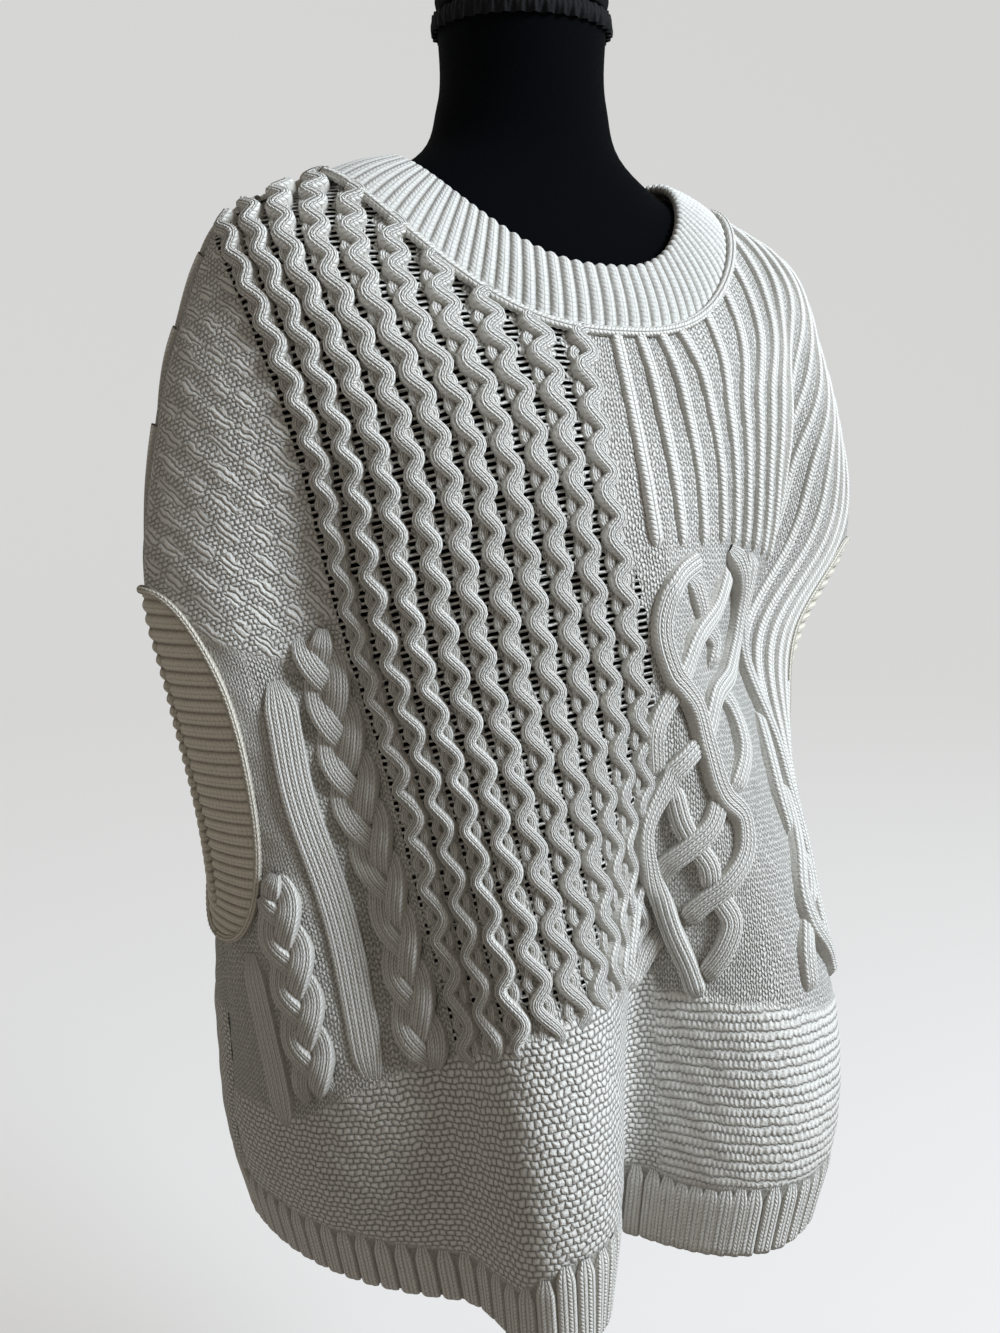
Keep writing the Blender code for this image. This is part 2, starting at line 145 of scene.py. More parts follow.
# Where each stitch stops, as a level v, along the front's wales.
Edge = namedtuple("Edge", "wale level")
MOSS_TOP = [Edge(-0.42, 0.150), Edge(-0.33, 0.165), Edge(-0.29, 0.205), Edge(-0.25, 0.235),
            Edge(-0.22, 0.255), Edge(-0.19, 0.275), Edge(-0.12, 0.305), Edge(-0.021, 0.288),
            Edge(-0.019, 0.262), Edge(0.00, 0.262), Edge(0.07, 0.250), Edge(0.12, 0.225),
            Edge(0.40, 0.212)]
HEM_TOP = [Edge(-0.42, 0.055), Edge(-0.20, 0.055), Edge(-0.17, 0.088), Edge(-0.12, 0.095),
           Edge(-0.07, 0.080), Edge(0.00, 0.068), Edge(0.40, 0.068)]
RIB_FOOT = [Edge(0.00, 0.715), Edge(0.07, 0.705), Edge(0.12, 0.690), Edge(0.19, 0.660),
            Edge(0.20, 0.235), Edge(0.50, 0.235)]
MOSS_SIDE = -0.020                 # moss stitch on this side of the wale, garter on the other
BACK_BAND_TOP, BACK_HEM_TOP = 0.240, 0.070


# ---------------------------------------------------------------- curves
def ease(x):
    """0 to 1 with level ends."""
    x = np.clip(x, 0.0, 1.0)
    return x * x * (3.0 - 2.0 * x)


def bell(distance, width):
    """1 at the middle, fading out over a width."""
    return np.exp(-(distance / width) ** 2)


def curve(xs, ys, x):
    """A smooth curve through points ys at xs: cubic pieces whose slopes are the central ones."""
    slope = np.gradient(ys, xs, axis=0)
    i = np.clip(np.searchsorted(xs, x, side="right") - 1, 0, len(xs) - 2)
    step = xs[i + 1] - xs[i]
    t = (x - xs[i]) / step
    if ys.ndim > 1:
        step, t = step[..., None], t[..., None]
    return (
        (2 * t**3 - 3 * t**2 + 1) * ys[i]
        + (t**3 - 2 * t**2 + t) * step * slope[i]
        + (3 * t**2 - 2 * t**3) * ys[i + 1]
        + (t**3 - t**2) * step * slope[i + 1]
    )


def through(rows, column, x):
    """A smooth curve through one column of a table, against the table's first column."""
    xs = np.array([row[0] for row in rows], float)
    return curve(xs, np.array([getattr(row, column) for row in rows], float), x)


def along(edges, wale):
    """The level of an edge at a wale, straight between its points."""
    return np.interp(wale, [e.wale for e in edges], [e.level for e in edges])


# ---------------------------------------------------------------- the hung cloth
def fold_push(face, angle, v):
    """How far the folds of one face push its cloth out."""
    push = np.zeros(np.broadcast(angle, v).shape)
    for fold in FOLDS:
        if fold.face != face:
            continue
        rise = np.clip(v / fold.v_end, 0.0, 1.0)
        strength = ease((fold.v_end - v) / (fold.v_end - fold.v_full))
        if fold.v_low > 0:
            strength = strength * ease((v - 0.5 * fold.v_low) / (0.6 * fold.v_low))
        centre = np.radians(fold.angle_hem + (fold.angle_top - fold.angle_hem) * rise)
        width = np.radians(fold.width_hem + (fold.width_top - fold.width_hem) * rise)
        push += fold.height * strength * np.exp(-(np.abs(angle - centre) / width) ** fold.power)
    return push


def hung_cloth(face, angle, v):
    """The sweater's outside at an angle from the face's centre (-90 to 90 degrees) and a level v."""
    out = -1.0 if face == "front" else 1.0
    sin, cos = np.sin(angle), np.cos(angle)
    power = 2.0 / through(RINGS, "sharp_" + face, v)
    if face == "front":
        power = np.where(sin > 0, 2.0 / through(RINGS, "sharp_left", v), power)
    half = np.where(sin > 0, through(RINGS, "left", v), through(RINGS, "right", v))
    push = fold_push(face, angle, v)
    side = np.abs(sin) ** 2.5
    x = half * np.sign(sin) * np.abs(sin) ** power + push * sin
    y = out * (through(RINGS, face, v) * np.abs(cos) ** power + push * cos)
    z = through(RINGS, "z_" + face, v) * (1 - side) + through(RINGS, "z_side", v) * side
    return np.stack([x, y, z], -1)


def girth_at(face, v):
    """Half the girth of a face's cloth at a level."""
    girth = SHEETS[face].girth
    return np.interp(v, np.linspace(0, 1, len(girth)), girth)


def unit(vectors):
    return vectors / np.maximum(np.linalg.norm(vectors, axis=-1, keepdims=True), 1e-9)


def sample(grid, share, v):
    """Values of an even (v, share) grid between its nodes."""
    rows, columns = grid.shape[:2]
    row = np.clip(v, 0.0, 1.0) * (rows - 1)
    column = (np.clip(share, -1.0, 1.0) + 1.0) / 2.0 * (columns - 1)
    r = np.minimum(row.astype(int), rows - 2)
    c = np.minimum(column.astype(int), columns - 2)
    fr, fc = row - r, column - c
    if grid.ndim > 2:
        fr, fc = fr[..., None], fc[..., None]
    low = grid[r, c] * (1 - fc) + grid[r, c + 1] * fc
    high = grid[r + 1, c] * (1 - fc) + grid[r + 1, c + 1] * fc
    return low * (1 - fr) + high * fr


Sheet = namedtuple("Sheet", "points outward upward girth course")


def hang(face, rows=201, columns=361):
    """One face's cloth on an even (v, share) grid: points, outward and upward directions, half
    girths, and each place's course."""
    v = np.linspace(0.0, 1.0, rows)
    angle = np.linspace(-np.pi / 2, np.pi / 2, 4 * columns)[None, :]
    fine = hung_cloth(face, angle, v[:, None])
    share = np.linspace(-1.0, 1.0, columns)
    points = np.empty((rows, columns, 3))
    girth = np.empty(rows)
    middle = fine.shape[1] // 2
    for row in range(rows):
        steps = np.linalg.norm(np.diff(fine[row], axis=0), axis=1)
        run = np.concatenate([[0.0], np.cumsum(steps)]) - steps[:middle].sum()
        girth[row] = 0.5 * (run[-1] - run[0])
        place = np.where(run < 0, -run / run[0], run / run[-1])
        for axis in range(3):
            points[row, :, axis] = np.interp(share, place, fine[row, :, axis])
    across, upward = np.gradient(points, axis=1), np.gradient(points, axis=0)
    outward = np.cross(across, upward) * (1.0 if face == "front" else -1.0)
    outward = unit(outward)
    outward[..., 1] *= ease(np.abs(points[..., 1]) / 0.012)
    return Sheet(points, unit(outward), unit(upward), girth, courses(face, points, girth, v, share))


def wale_guides(face, v, girth=None):
    """Shares of the guide wales at a level, and those wales. The back's wales hang straight down,
    so their shares are distances over the half girth."""
    if face == "front":
        names = Guide._fields[1:]
        return np.stack([through(GUIDES, name, v) for name in names], -1), GUIDE_WALES
    wales = np.array([-0.4, 0.0, 0.4])
    if girth is None:
        girth = girth_at("back", v)
    return wales / np.asarray(girth)[..., None], wales


def share_of(face, wale, v):
    """Share of a wale at a level: straight between its two nearest guides."""
    wale, v = np.broadcast_arrays(wale, v)
    shares, wales = wale_guides(face, v)
    i = np.clip(np.searchsorted(wales, wale) - 1, 0, len(wales) - 2)
    low = np.take_along_axis(shares, i[..., None], -1)[..., 0]
    high = np.take_along_axis(shares, i[..., None] + 1, -1)[..., 0]
    return low + (wale - wales[i]) / (wales[i + 1] - wales[i]) * (high - low)


def wale_of(face, share, v, girth=None):
    """Wale at a share and a level: straight between the two nearest guides."""
    share, v = np.broadcast_arrays(share, v)
    shares, wales = wale_guides(face, v, girth)
    i = np.clip((share[..., None] >= shares).sum(-1) - 1, 0, len(wales) - 2)
    low = np.take_along_axis(shares, i[..., None], -1)[..., 0]
    high = np.take_along_axis(shares, i[..., None] + 1, -1)[..., 0]
    return wales[i] + (share - low) / (high - low) * (wales[i + 1] - wales[i])


def courses(face, points, girth, v, share):
    """Each grid node's course. Courses cross the wales squarely, so the course's slope along every
    grid edge is the edge's length along the wale; the field is the least squares fit to those
    slopes, found by conjugate gradients."""
    wale = wale_of(face, share[None, :] + 0 * v[:, None], v[:, None] + 0 * share[None, :],
                   girth[:, None] + 0 * share[None, :])
    up, across = np.gradient(points, axis=0), np.gradient(points, axis=1)
    lean = np.gradient(wale, axis=0) / np.gradient(wale, axis=1)
    wale_way = unit(up - lean[..., None] * across)
    run_across, run_up = np.diff(points, axis=1), np.diff(points, axis=0)
    want_across = (run_across * 0.5 * (wale_way[:, 1:] + wale_way[:, :-1])).sum(-1)
    want_up = (run_up * 0.5 * (wale_way[1:] + wale_way[:-1])).sum(-1)
    length_across, length_up = np.linalg.norm(run_across, axis=-1), np.linalg.norm(run_up, axis=-1)
    pull_across = np.mean(length_up) / np.maximum(length_across, 1e-4)
    pull_up = np.mean(length_across) / np.maximum(length_up, 1e-4)

    def spread(edge_across, edge_up):
        total = np.zeros(points.shape[:2])
        total[:, 1:] += pull_across * edge_across
        total[:, :-1] -= pull_across * edge_across
        total[1:] += pull_up * edge_up
        total[:-1] -= pull_up * edge_up
        return total

    course = np.vstack([np.zeros((1, len(share))), np.cumsum(length_up, axis=0)])
    rest = spread(want_across - np.diff(course, axis=1), want_up - np.diff(course, axis=0))
    step, size = rest.copy(), (rest**2).sum()
    for _ in range(500):
        pulled = spread(np.diff(step, axis=1), np.diff(step, axis=0))
        gain = size / (step * pulled).sum()
        course += gain * step
        rest -= gain * pulled
        new_size = (rest**2).sum()
        step = rest + new_size / size * step
        size = new_size
    return course - course[0].mean()


def surface(face, share, v, out=0.0):
    """Points that lie `out` off the cloth. Below the hem (v under 0) the cloth turns through half
    a circle of radius HEM_ROLL and goes up inside."""
    sheet = SHEETS[face]
    share, v, out = np.broadcast_arrays(share, v, out)
    outward = unit(sample(sheet.outward, share, v))
    upward = unit(sample(sheet.upward, share, v))
    below = np.maximum(-v, 0.0) * HEM_DROP
    turn = np.minimum(below / HEM_ROLL, np.pi)
    reach = HEM_ROLL + out
    return (
        sample(sheet.points, share, v)
        + (reach * np.cos(turn) - HEM_ROLL)[..., None] * outward
        + (below - turn * HEM_ROLL - reach * np.sin(turn))[..., None] * upward
    )


def armhole_cut(face, v, width=ARMBAND_WIDTH + SLIT_HALF + SEAM_GAP):
    """How far the armhole cuts into the panel at a level, as a share: a superellipse."""
    middle, half = (ARMHOLE_LOW + ARMHOLE_HIGH) / 2, (ARMHOLE_HIGH - ARMHOLE_LOW) / 2
    cos = np.clip(np.abs(v - middle) / half, 0.0, 1.0) ** 1.3
    return width * np.sqrt(1 - cos**2) ** (2.0 / 2.6) / girth_at(face, v)


SHEETS = {}
SHEETS["back"] = hang("back")
SHEETS["front"] = hang("front")


# ---------------------------------------------------------------- meshes
Patch = namedtuple("Patch", "points knit")     # grids: places, and (wale, course, spare) of each


def object_of(name, points, faces, material, fields=None, chart=None):
    """One smooth mesh from points and quads, with its vector fields and its baking map."""
    mesh = bpy.data.meshes.new(name)
    mesh.vertices.add(len(points))
    mesh.vertices.foreach_set("co", points.astype(np.float32).ravel())
    mesh.loops.add(4 * len(faces))
    mesh.loops.foreach_set("vertex_index", faces.astype(np.int32).ravel())
    mesh.polygons.add(len(faces))
    mesh.polygons.foreach_set("loop_start", np.arange(0, 4 * len(faces), 4, dtype=np.int32))
    mesh.polygons.foreach_set("use_smooth", np.ones(len(faces), bool))
    for field, values in (fields or {}).items():
        stored = mesh.attributes.new(field, "FLOAT_VECTOR", "POINT")
        stored.data.foreach_set("vector", values.astype(np.float32).ravel())
    if chart is not None:
        layer = mesh.uv_layers.new(name="OFBake")
        layer.data.foreach_set("uv", chart[faces.ravel()].astype(np.float32).ravel())
    mesh.materials.append(material)
    mesh.update(calc_edges=True)
    mesh.validate()
    obj = bpy.data.objects.new(name, mesh)
    bpy.context.scene.collection.objects.link(obj)
    return obj


def grid_faces(index, points):
    """Quads of a grid of vertex numbers, turned so that most look away from the Z axis."""
    faces = np.stack([index[:-1, :-1], index[:-1, 1:], index[1:, 1:], index[1:, :-1]], -1).reshape(-1, 4)
    a, b, d = points[faces[:, 0]], points[faces[:, 1]], points[faces[:, 3]]
    facing = np.cross(b - a, d - a) * [1.0, 1.0, 0.0]
    middle = (b + d) / 2 - [0.0, 0.0, 0.9]
    return faces[:, ::-1] if (facing * middle).sum() < 0 else faces


def piece(name, patches, material, slot, replaces=(), fields=None, loop=False):
    """A named piece made of patches side by side. loop joins each patch's last row to its first."""
    starts = np.cumsum([0] + [p.points.shape[0] * p.points.shape[1] for p in patches])
    points = np.concatenate([p.points.reshape(-1, 3) for p in patches])
    knit = np.concatenate([p.knit.reshape(-1, 3) for p in patches])
    longest = max(p.points.shape[0] for p in patches)
    faces, charts = [], []
    for number, (patch, start) in enumerate(zip(patches, starts)):
        rows, columns = patch.points.shape[:2]
        index = np.arange(start, start + rows * columns).reshape(rows, columns)
        if loop:
            index = np.vstack([index, index[:1]])
        faces.append(grid_faces(index, points))
        across = (number + np.linspace(0.03, 0.97, columns)) / len(patches)
        charts.append(np.stack(np.broadcast_arrays(
            across[None, :], np.linspace(0, 0.999 * rows / longest, rows)[:, None]), -1).reshape(-1, 2))
    obj = object_of(name, points, np.concatenate(faces), material,
                    {"knit": knit, **(fields or {})}, None if loop else np.concatenate(charts))
    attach(obj, "root")
    if replaces:
        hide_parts(*replaces)
    return obj


# ---------------------------------------------------------------- raised cords on the cloth
def evenly(values, points, step):
    """Values along a path, read again at even steps of its length."""
    run = np.concatenate([[0.0], np.cumsum(np.linalg.norm(np.diff(points, axis=0), axis=1))])
    count = max(int(run[-1] / step), 4)
    at = np.linspace(0.0, run[-1], count)
    return at, np.stack([np.interp(at, run, column) for column in values.T], -1)


def ribbon(face, wale, v, width, height, lift=0.0, wales=3, sides=12, step=0.0022, tapers=(0.0, 0.0),
           limit=0.004, sink=0.0016, crown=0.65):
    """A half-round cord lying on the cloth along wales and levels, hem end first. Its section is
    half a rounded box, grooved between its columns of stitches, whose feet sink into the cloth,
    and it thins out over each end's taper."""
    wale, v, width, height, lift = np.broadcast_arrays(wale, np.asarray(v, float), width, height, lift)
    share = share_of(face, wale, v)
    room = 1.0 - armhole_cut(face, v) - limit / 0.3
    inside = np.abs(share) < room
    if not inside.any():
        return None
    ends = np.flatnonzero(np.diff(np.concatenate([[0], inside.astype(int), [0]])))
    first, last = max(zip(ends[::2], ends[1::2]), key=lambda pair: pair[1] - pair[0])
    if last - first < 6:
        return None
    kept = np.stack([share, v, width, height, lift], -1)[first:last]
    run, kept = evenly(kept, surface(face, kept[:, 0], kept[:, 1]), step)
    share, v, width, height, lift = kept.T
    centre = surface(face, share, v, GROUND + lift)
    normal = unit(surface(face, share, v, GROUND + lift + 0.001) - centre)
    side = unit(np.cross(np.gradient(centre, axis=0), normal))
    thin = np.ones(len(run))
    for taper, distance in zip(tapers, (run, run[-1] - run)):
        if taper > 0:
            thin = thin * np.sqrt(ease(distance / taper) * 0.98 + 0.02)
    angle = np.linspace(0.0, np.pi, sides + 1)
    across = -np.cos(angle)
    groove = 0.16 * np.cos(np.pi * (across + 1) / 2 * wales) ** 2 * np.sin(angle)
    rise = np.sin(angle) ** crown - groove
    sunk = np.where((angle < 1e-3) | (angle > np.pi - 1e-3), sink, 0.0)
    points = (
        centre[:, None]
        + side[:, None] * (across * (width * (0.4 + 0.6 * thin) / 2)[:, None])[..., None]
        + normal[:, None] * (rise * (height * thin)[:, None] - sunk)[..., None]
    )
    knit = np.zeros(points.shape)
    knit[..., 0] = (across + 1) / 2 * wales
    knit[..., 1] = (run / COURSE)[:, None]
    return Patch(points, knit)


def course_at(face, wale, v):
    return sample(SHEETS[face].course, share_of(face, wale, v), v)


def stitch_scale(face, wale, v):
    """Real width of the knitting over its nominal one."""
    spread = share_of(face, wale + 0.005, v) - share_of(face, wale - 0.005, v)
    return spread * girth_at(face, v) / 0.01


def waves(face, columns, first_wale, v_low, v_high):
    """Wave columns: a plump cord swings from side to side over a flatter one that swings the
    other way and dips under it wherever they cross."""
    v = np.linspace(0.0, 1.0, 900)
    plump, flat = [], []
    for number in range(columns):
        wale = first_wale + number * WAVE_PITCH
        span = v_low(wale) + (v_high - v_low(wale)) * v
        phase = wave_phase(course_at(face, wale, span), number)
        swing = wave_swing(span)
        scale = np.clip(stitch_scale(face, wale, span), 0.62, 1.08)
        over = beside(face, wale, WAVE_SHIFT + swing * swung(phase), span)
        plump.append(ribbon(face, *over, WAVE_WIDTH * scale, WAVE_HEIGHT * scale, 0.0002,
                            tapers=(0.014, 0.0), sink=0.0034))
        under = beside(face, wale, UNDER_SHIFT - UNDER_SWING * swing * swung(phase), span)
        dip = np.cos(phase) ** 2
        flat.append(ribbon(face, *under, 0.0060 * scale, 0.0024 - 0.0012 * dip, -0.0008 - 0.0006 * dip,
                           wales=2, sides=8, tapers=(0.010, 0.0), sink=0.0022))
    return plump, flat


def beside(face, wale, off, v):
    """The wale and level of the place `off` to one side of a wale, along its course."""
    course = course_at(face, wale, v)
    drift = course_at(face, wale + off, v) - course
    return wale + off, np.minimum(v - drift / np.gradient(course, v), 1.0)


def wave_phase(course, number):
    """Turns of a wave: its swings come closer together towards the collar."""
    drawn_up = course + 0.56 * np.maximum(course - 0.25, 0.0) ** 2
    return 2 * np.pi * (drawn_up / WAVE_LENGTH + 0.33 * (number % 2) + 0.04 * number)


def wave_swing(v):
    """Half the swing of a wave's cord: a little wider lower down."""
    return 0.0040 + 0.0010 * ease((0.75 - v) / 0.35)


def swung(phase):
    """A swing with short quick crossings: a sine whose sides are steepened."""
    return np.sin(phase + 0.25 * np.sin(phase)) * 1.02


def plait(face, wale, v_low, v_high, width=0.0140, swing=0.0100, length=0.096):
    """A three-strand plait: each strand goes side to side as a sine, and over and under at twice
    the pace."""
    v = np.linspace(v_low, v_high, 700)
    strands = []
    for number in range(3):
        turn = 2 * np.pi * (course_at(face, wale, v) / length + number / 3)
        strands.append(ribbon(face, *beside(face, wale, swing * np.sin(turn), v), width, 0.0050,
                              0.0006 + 0.0030 * np.sin(2 * turn), wales=4, sides=16,
                              tapers=(0.016, 0.012), crown=0.5))
    return strands


# A knot lies some metres to the wearer's left of the centre line. lift: +1 over its neighbour,
# -1 under it.
Knot = namedtuple("Knot", "across v lift")


def lattice(face, charts, width=0.0138, height=0.0066):
    """Cords through their own knots, hem end first. A cord is lifted over or sunk under another
    where its chart says so."""
    made = []
    for chart in charts:
        knots = np.array(sorted(chart, key=lambda knot: knot.v), float)
        gap = np.hypot(np.diff(knots[:, 0]), HEM_DROP * np.diff(knots[:, 1]))
        run = np.concatenate([[0.0], np.cumsum(gap)])
        across, v, lift = curve(run, knots, np.linspace(0.0, run[-1], 400)).T
        wale = wale_of(face, across / girth_at(face, v), v)
        made.append(ribbon(face, wale, v, width, height, 0.0006 + 0.0028 * lift, wales=4, sides=20,
                           tapers=(0.008, 0.008), sink=0.0034, crown=0.5))
    return made


def single_ribs(face, wales, v_low, v_high):
    """Ribs one stitch wide that stand on the purl ground."""
    height = 0.0036 if face == "front" else 0.0026
    return [ribbon(face, wale, np.linspace(v_low(wale), v_high, 500), 0.0088, height, wales=1,
                   sides=8, step=0.0026, tapers=(0.006, 0.0)) for wale in wales]


def hem_ribs(face, wales, v_high):
    """The hem's ribs, from just inside the turned edge up to the ribbing's top."""
    return [ribbon(face, wale, np.linspace(-0.014, v_high(wale), 160), 0.0114, 0.0024, wales=2,
                   sides=10, step=0.0032, crown=0.45, tapers=(0.0, 0.012), limit=0.0)
            for wale in wales]


# ---------------------------------------------------------------- stitch zones
def front_zones(wale, v):
    """Weights of the front's stitches at each place, and the half width of the ladders."""
    soft = 0.010
    hem = 1.0 - ease((v - along(HEM_TOP, wale)) / soft + 0.5)
    band = (1.0 - ease((v - along(MOSS_TOP, wale)) / soft + 0.5)) * (1.0 - hem)
    moss_side = 1.0 - ease((wale - MOSS_SIDE) / 0.004 + 0.5)
    above = (1.0 - band) * (1.0 - hem)
    right = 1.0 - ease((wale - FIRST_WAVE + 0.5 * WAVE_PITCH) / 0.003 + 0.5)
    basket_edge = 0.60 + 0.5 * np.clip(-0.245 - wale, 0.0, 0.12)
    basket = right * ease((v - basket_edge) / 0.014 + 0.5)
    plain = right * (1 - basket) * ease((-0.292 - wale) / 0.004) * ease((v - 0.375) / 0.02)
    course = course_at("front", wale, v)
    column = (wale - FIRST_WAVE) / WAVE_PITCH
    number = np.floor(column)
    waving = (column > -0.5) & (column < WAVE_COUNT - 0.1)
    half = np.full(np.shape(wale), 1.0)
    for offset, sign in ((0, 1), (1, -1)):
        here = number + offset
        phase = wave_phase(course, here)
        swing = wave_swing(v) * swung(phase)
        edge = np.maximum(sign * (WAVE_SHIFT + swing) + 0.0044,
                          sign * (UNDER_SHIFT - UNDER_SWING * swing) + 0.0033)
        exists = (here >= 0) & (here < WAVE_COUNT)
        half = np.minimum(half, np.where(exists, WAVE_PITCH / 2 - edge - 0.0002, 0.0036))
    ladder = half * waving * (1 - 0.45 * ease((0.62 - v) / 0.25))
    ladder = ladder * ease((v - along(MOSS_TOP, wale) - 0.004) / 0.02)
    beside_ribs = ease((0.70 - v) / 0.05) * ease((v - 0.42) / 0.1)
    ladder = np.where(number == WAVE_COUNT - 1, ladder * beside_ribs, ladder)
    stitches_a = np.stack([above * plain, above * (1 - plain - basket), band * moss_side], -1)
    stitches_b = np.stack([band * (1 - moss_side), above * basket, hem], -1)
    return stitches_a, stitches_b, np.maximum(ladder, 0.0)


def back_zones(wale, v):
    soft = 0.010
    hem = 1.0 - ease((v - BACK_HEM_TOP) / soft + 0.5)
    band = (1.0 - ease((v - BACK_BAND_TOP) / soft + 0.5)) * (1.0 - hem)
    above = (1.0 - band) * (1.0 - hem)
    none = 0.0 * band
    return np.stack([none, above, band], -1), np.stack([none, none, hem], -1), none


def relief(face, share, v, wale, stitches_a, stitches_b):
    """Small heights of the ground: it is thicker in moss, garter and basket stitch, sinks under the
    waves, goes in at the seams and is nowhere quite flat."""
    thick = 0.0010 * (stitches_a[..., 2] + stitches_b[..., 0] + stitches_b[..., 1])
    seam = -0.0016 * bell((1.0 - np.abs(share)) * girth_at(face, v), 0.004)
    uneven = 0.0006 * np.sin(37 * wale + 11 * v) * np.sin(23 * v - 19 * wale)
    uneven = uneven + 0.0004 * np.sin(141 * wale + 60 * v) * np.sin(87 * v + 50 * wale)
    sunk = 0.0
    if face == "front":
        column = (wale - FIRST_WAVE) / WAVE_PITCH
        waving = ease((column + 0.4) * 3) * ease((WAVE_COUNT - 0.6 - column) * 3)
        sunk = -0.0016 * waving * stitches_a[..., 1]
    return GROUND + thick + seam + uneven + sunk


def ground(face, material, rows, columns, zones):
    """The panel's ground cloth, from inside the turned hem up to the collar."""
    nearby = (ARMHOLE_HIGH - ARMHOLE_LOW) / 2 * np.array([0.0005, 0.002, 0.005])
    v = np.concatenate([
        np.linspace(-0.018, 0.0, 12, endpoint=False), np.linspace(0.0, 1.0, rows),
        [ARMHOLE_LOW], ARMHOLE_LOW + nearby, [ARMHOLE_HIGH], ARMHOLE_HIGH - nearby])
    v = np.sort(v)[:, None]
    edge = 1.0 - armhole_cut(face, v)
    share = np.linspace(-1.0, 1.0, columns)[None, :] * edge
    v = v + 0.0 * share
    level = np.maximum(v, 0.0)
    wale = wale_of(face, share, level)
    course = sample(SHEETS[face].course, share, level) + np.minimum(v, 0.0) * HEM_DROP
    stitches_a, stitches_b, ladder = zones(wale, level)
    points = surface(face, share, v, relief(face, share, level, wale, stitches_a, stitches_b))
    apart = np.array([0.0, -1.0 if face == "front" else 1.0, 0.0]) * SEAM_GAP / 20
    fields = {"stitches_a": stitches_a.reshape(-1, 3), "stitches_b": stitches_b.reshape(-1, 3)}
    knit = np.stack([wale, course, ladder], -1)
    return piece(face, [Patch(points + apart, knit)], material, face + "_knit", [face], fields)


# ---------------------------------------------------------------- lattice charts
TALL_LATTICE = [
    [Knot(0.031, 0.695, 0), Knot(0.005, 0.677, 0), Knot(-0.009, 0.634, 0),
     Knot(-0.002, 0.586, 0.3), Knot(0.013, 0.552, 1), Knot(0.023, 0.508, 0.8), Knot(0.035, 0.460, 0.8),
     Knot(0.050, 0.436, 0.6), Knot(0.052, 0.408, 0.3), Knot(0.037, 0.371, 0.2),
     Knot(0.023, 0.353, -0.5), Knot(0.012, 0.334, -1)],
    [Knot(0.070, 0.700, 0.2), Knot(0.084, 0.670, 0.8), Knot(0.094, 0.636, 0.3),
     Knot(0.093, 0.600, 0.5), Knot(0.076, 0.569, 0.6), Knot(0.043, 0.549, 0.2),
     Knot(0.031, 0.523, -0.9), Knot(0.011, 0.504, -0.3), Knot(-0.008, 0.471, 0.7),
     Knot(-0.021, 0.434, 0.3), Knot(-0.015, 0.392, 0.6), Knot(-0.003, 0.357, 0.8),
     Knot(0.005, 0.324, 0.7), Knot(0.015, 0.287, 0), Knot(0.021, 0.258, 0)],
    [Knot(0.072, 0.676, -0.8), Knot(0.052, 0.640, 0.7), Knot(0.025, 0.612, 0.4),
     Knot(0.011, 0.584, -0.5), Knot(-0.003, 0.560, -1), Knot(-0.015, 0.533, 0),
     Knot(-0.011, 0.484, -0.8)],
    [Knot(0.022, 0.680, -0.8), Knot(0.034, 0.643, -0.3), Knot(0.041, 0.629, -1), Knot(0.056, 0.604, 0),
     Knot(0.054, 0.576, -0.8)],
    [Knot(0.052, 0.566, -0.9), Knot(0.068, 0.538, -0.2), Knot(0.069, 0.500, 0.2),
     Knot(0.050, 0.458, -0.9)],
    [Knot(0.000, 0.474, -0.9), Knot(0.008, 0.434, -0.3), Knot(0.014, 0.418, -0.9),
     Knot(0.026, 0.392, -0.4), Knot(0.029, 0.366, -0.9)],
    [Knot(0.034, 0.462, -0.9), Knot(0.027, 0.433, 0), Knot(0.011, 0.409, 0.5),
     Knot(-0.001, 0.392, 0.2), Knot(-0.008, 0.372, -0.9)],
    [Knot(-0.020, 0.368, -0.9), Knot(-0.031, 0.343, 0), Knot(-0.040, 0.318, 0),
     Knot(-0.042, 0.284, -0.7)],
    [Knot(0.032, 0.364, -0.9), Knot(0.042, 0.336, 0.2), Knot(0.038, 0.311, 0.3),
     Knot(0.024, 0.276, -0.8)],
    [Knot(-0.002, 0.324, -0.9), Knot(-0.017, 0.291, 0.2), Knot(-0.030, 0.268, -0.3)],
]
SIDE_LATTICE = [
    [Knot(0.100, 0.690, 0), Knot(0.104, 0.620, 0.2), Knot(0.122, 0.550, 0.5), Knot(0.142, 0.490, 0.5),
     Knot(0.158, 0.430, 0.3), Knot(0.166, 0.370, 0.3), Knot(0.170, 0.310, 0), Knot(0.172, 0.250, 0)],
    [Knot(0.128, 0.520, -1), Knot(0.116, 0.475, 0), Knot(0.114, 0.435, 0.2), Knot(0.124, 0.395, -0.6)],
    [Knot(0.152, 0.440, -1), Knot(0.140, 0.410, 0), Knot(0.122, 0.380, 0.6), Knot(0.112, 0.345, 0.3),
     Knot(0.118, 0.312, 0.6), Knot(0.134, 0.285, 0.8), Knot(0.152, 0.258, 0.2), Knot(0.160, 0.240, 0)],
    [Knot(0.136, 0.385, -0.9), Knot(0.146, 0.350, 0), Knot(0.138, 0.315, -0.8)],
    [Knot(0.116, 0.318, -0.9), Knot(0.104, 0.290, 0.1), Knot(0.106, 0.250, -0.6)],
]


# ---------------------------------------------------------------- collar, armbands and seam cords
def collar_line():
    """The collar's foot all round: front from the wearer's right to left, then back again."""
    share = np.linspace(-1.0, 1.0, 421)
    points, inward = [], []
    for face, order in (("front", slice(None)), ("back", slice(-2, 0, -1))):
        points.append(surface(face, share, np.ones_like(share))[order])
        inward.append(-unit(sample(SHEETS[face].outward, share, np.ones_like(share)))[order])
    return np.concatenate(points), np.concatenate(inward)


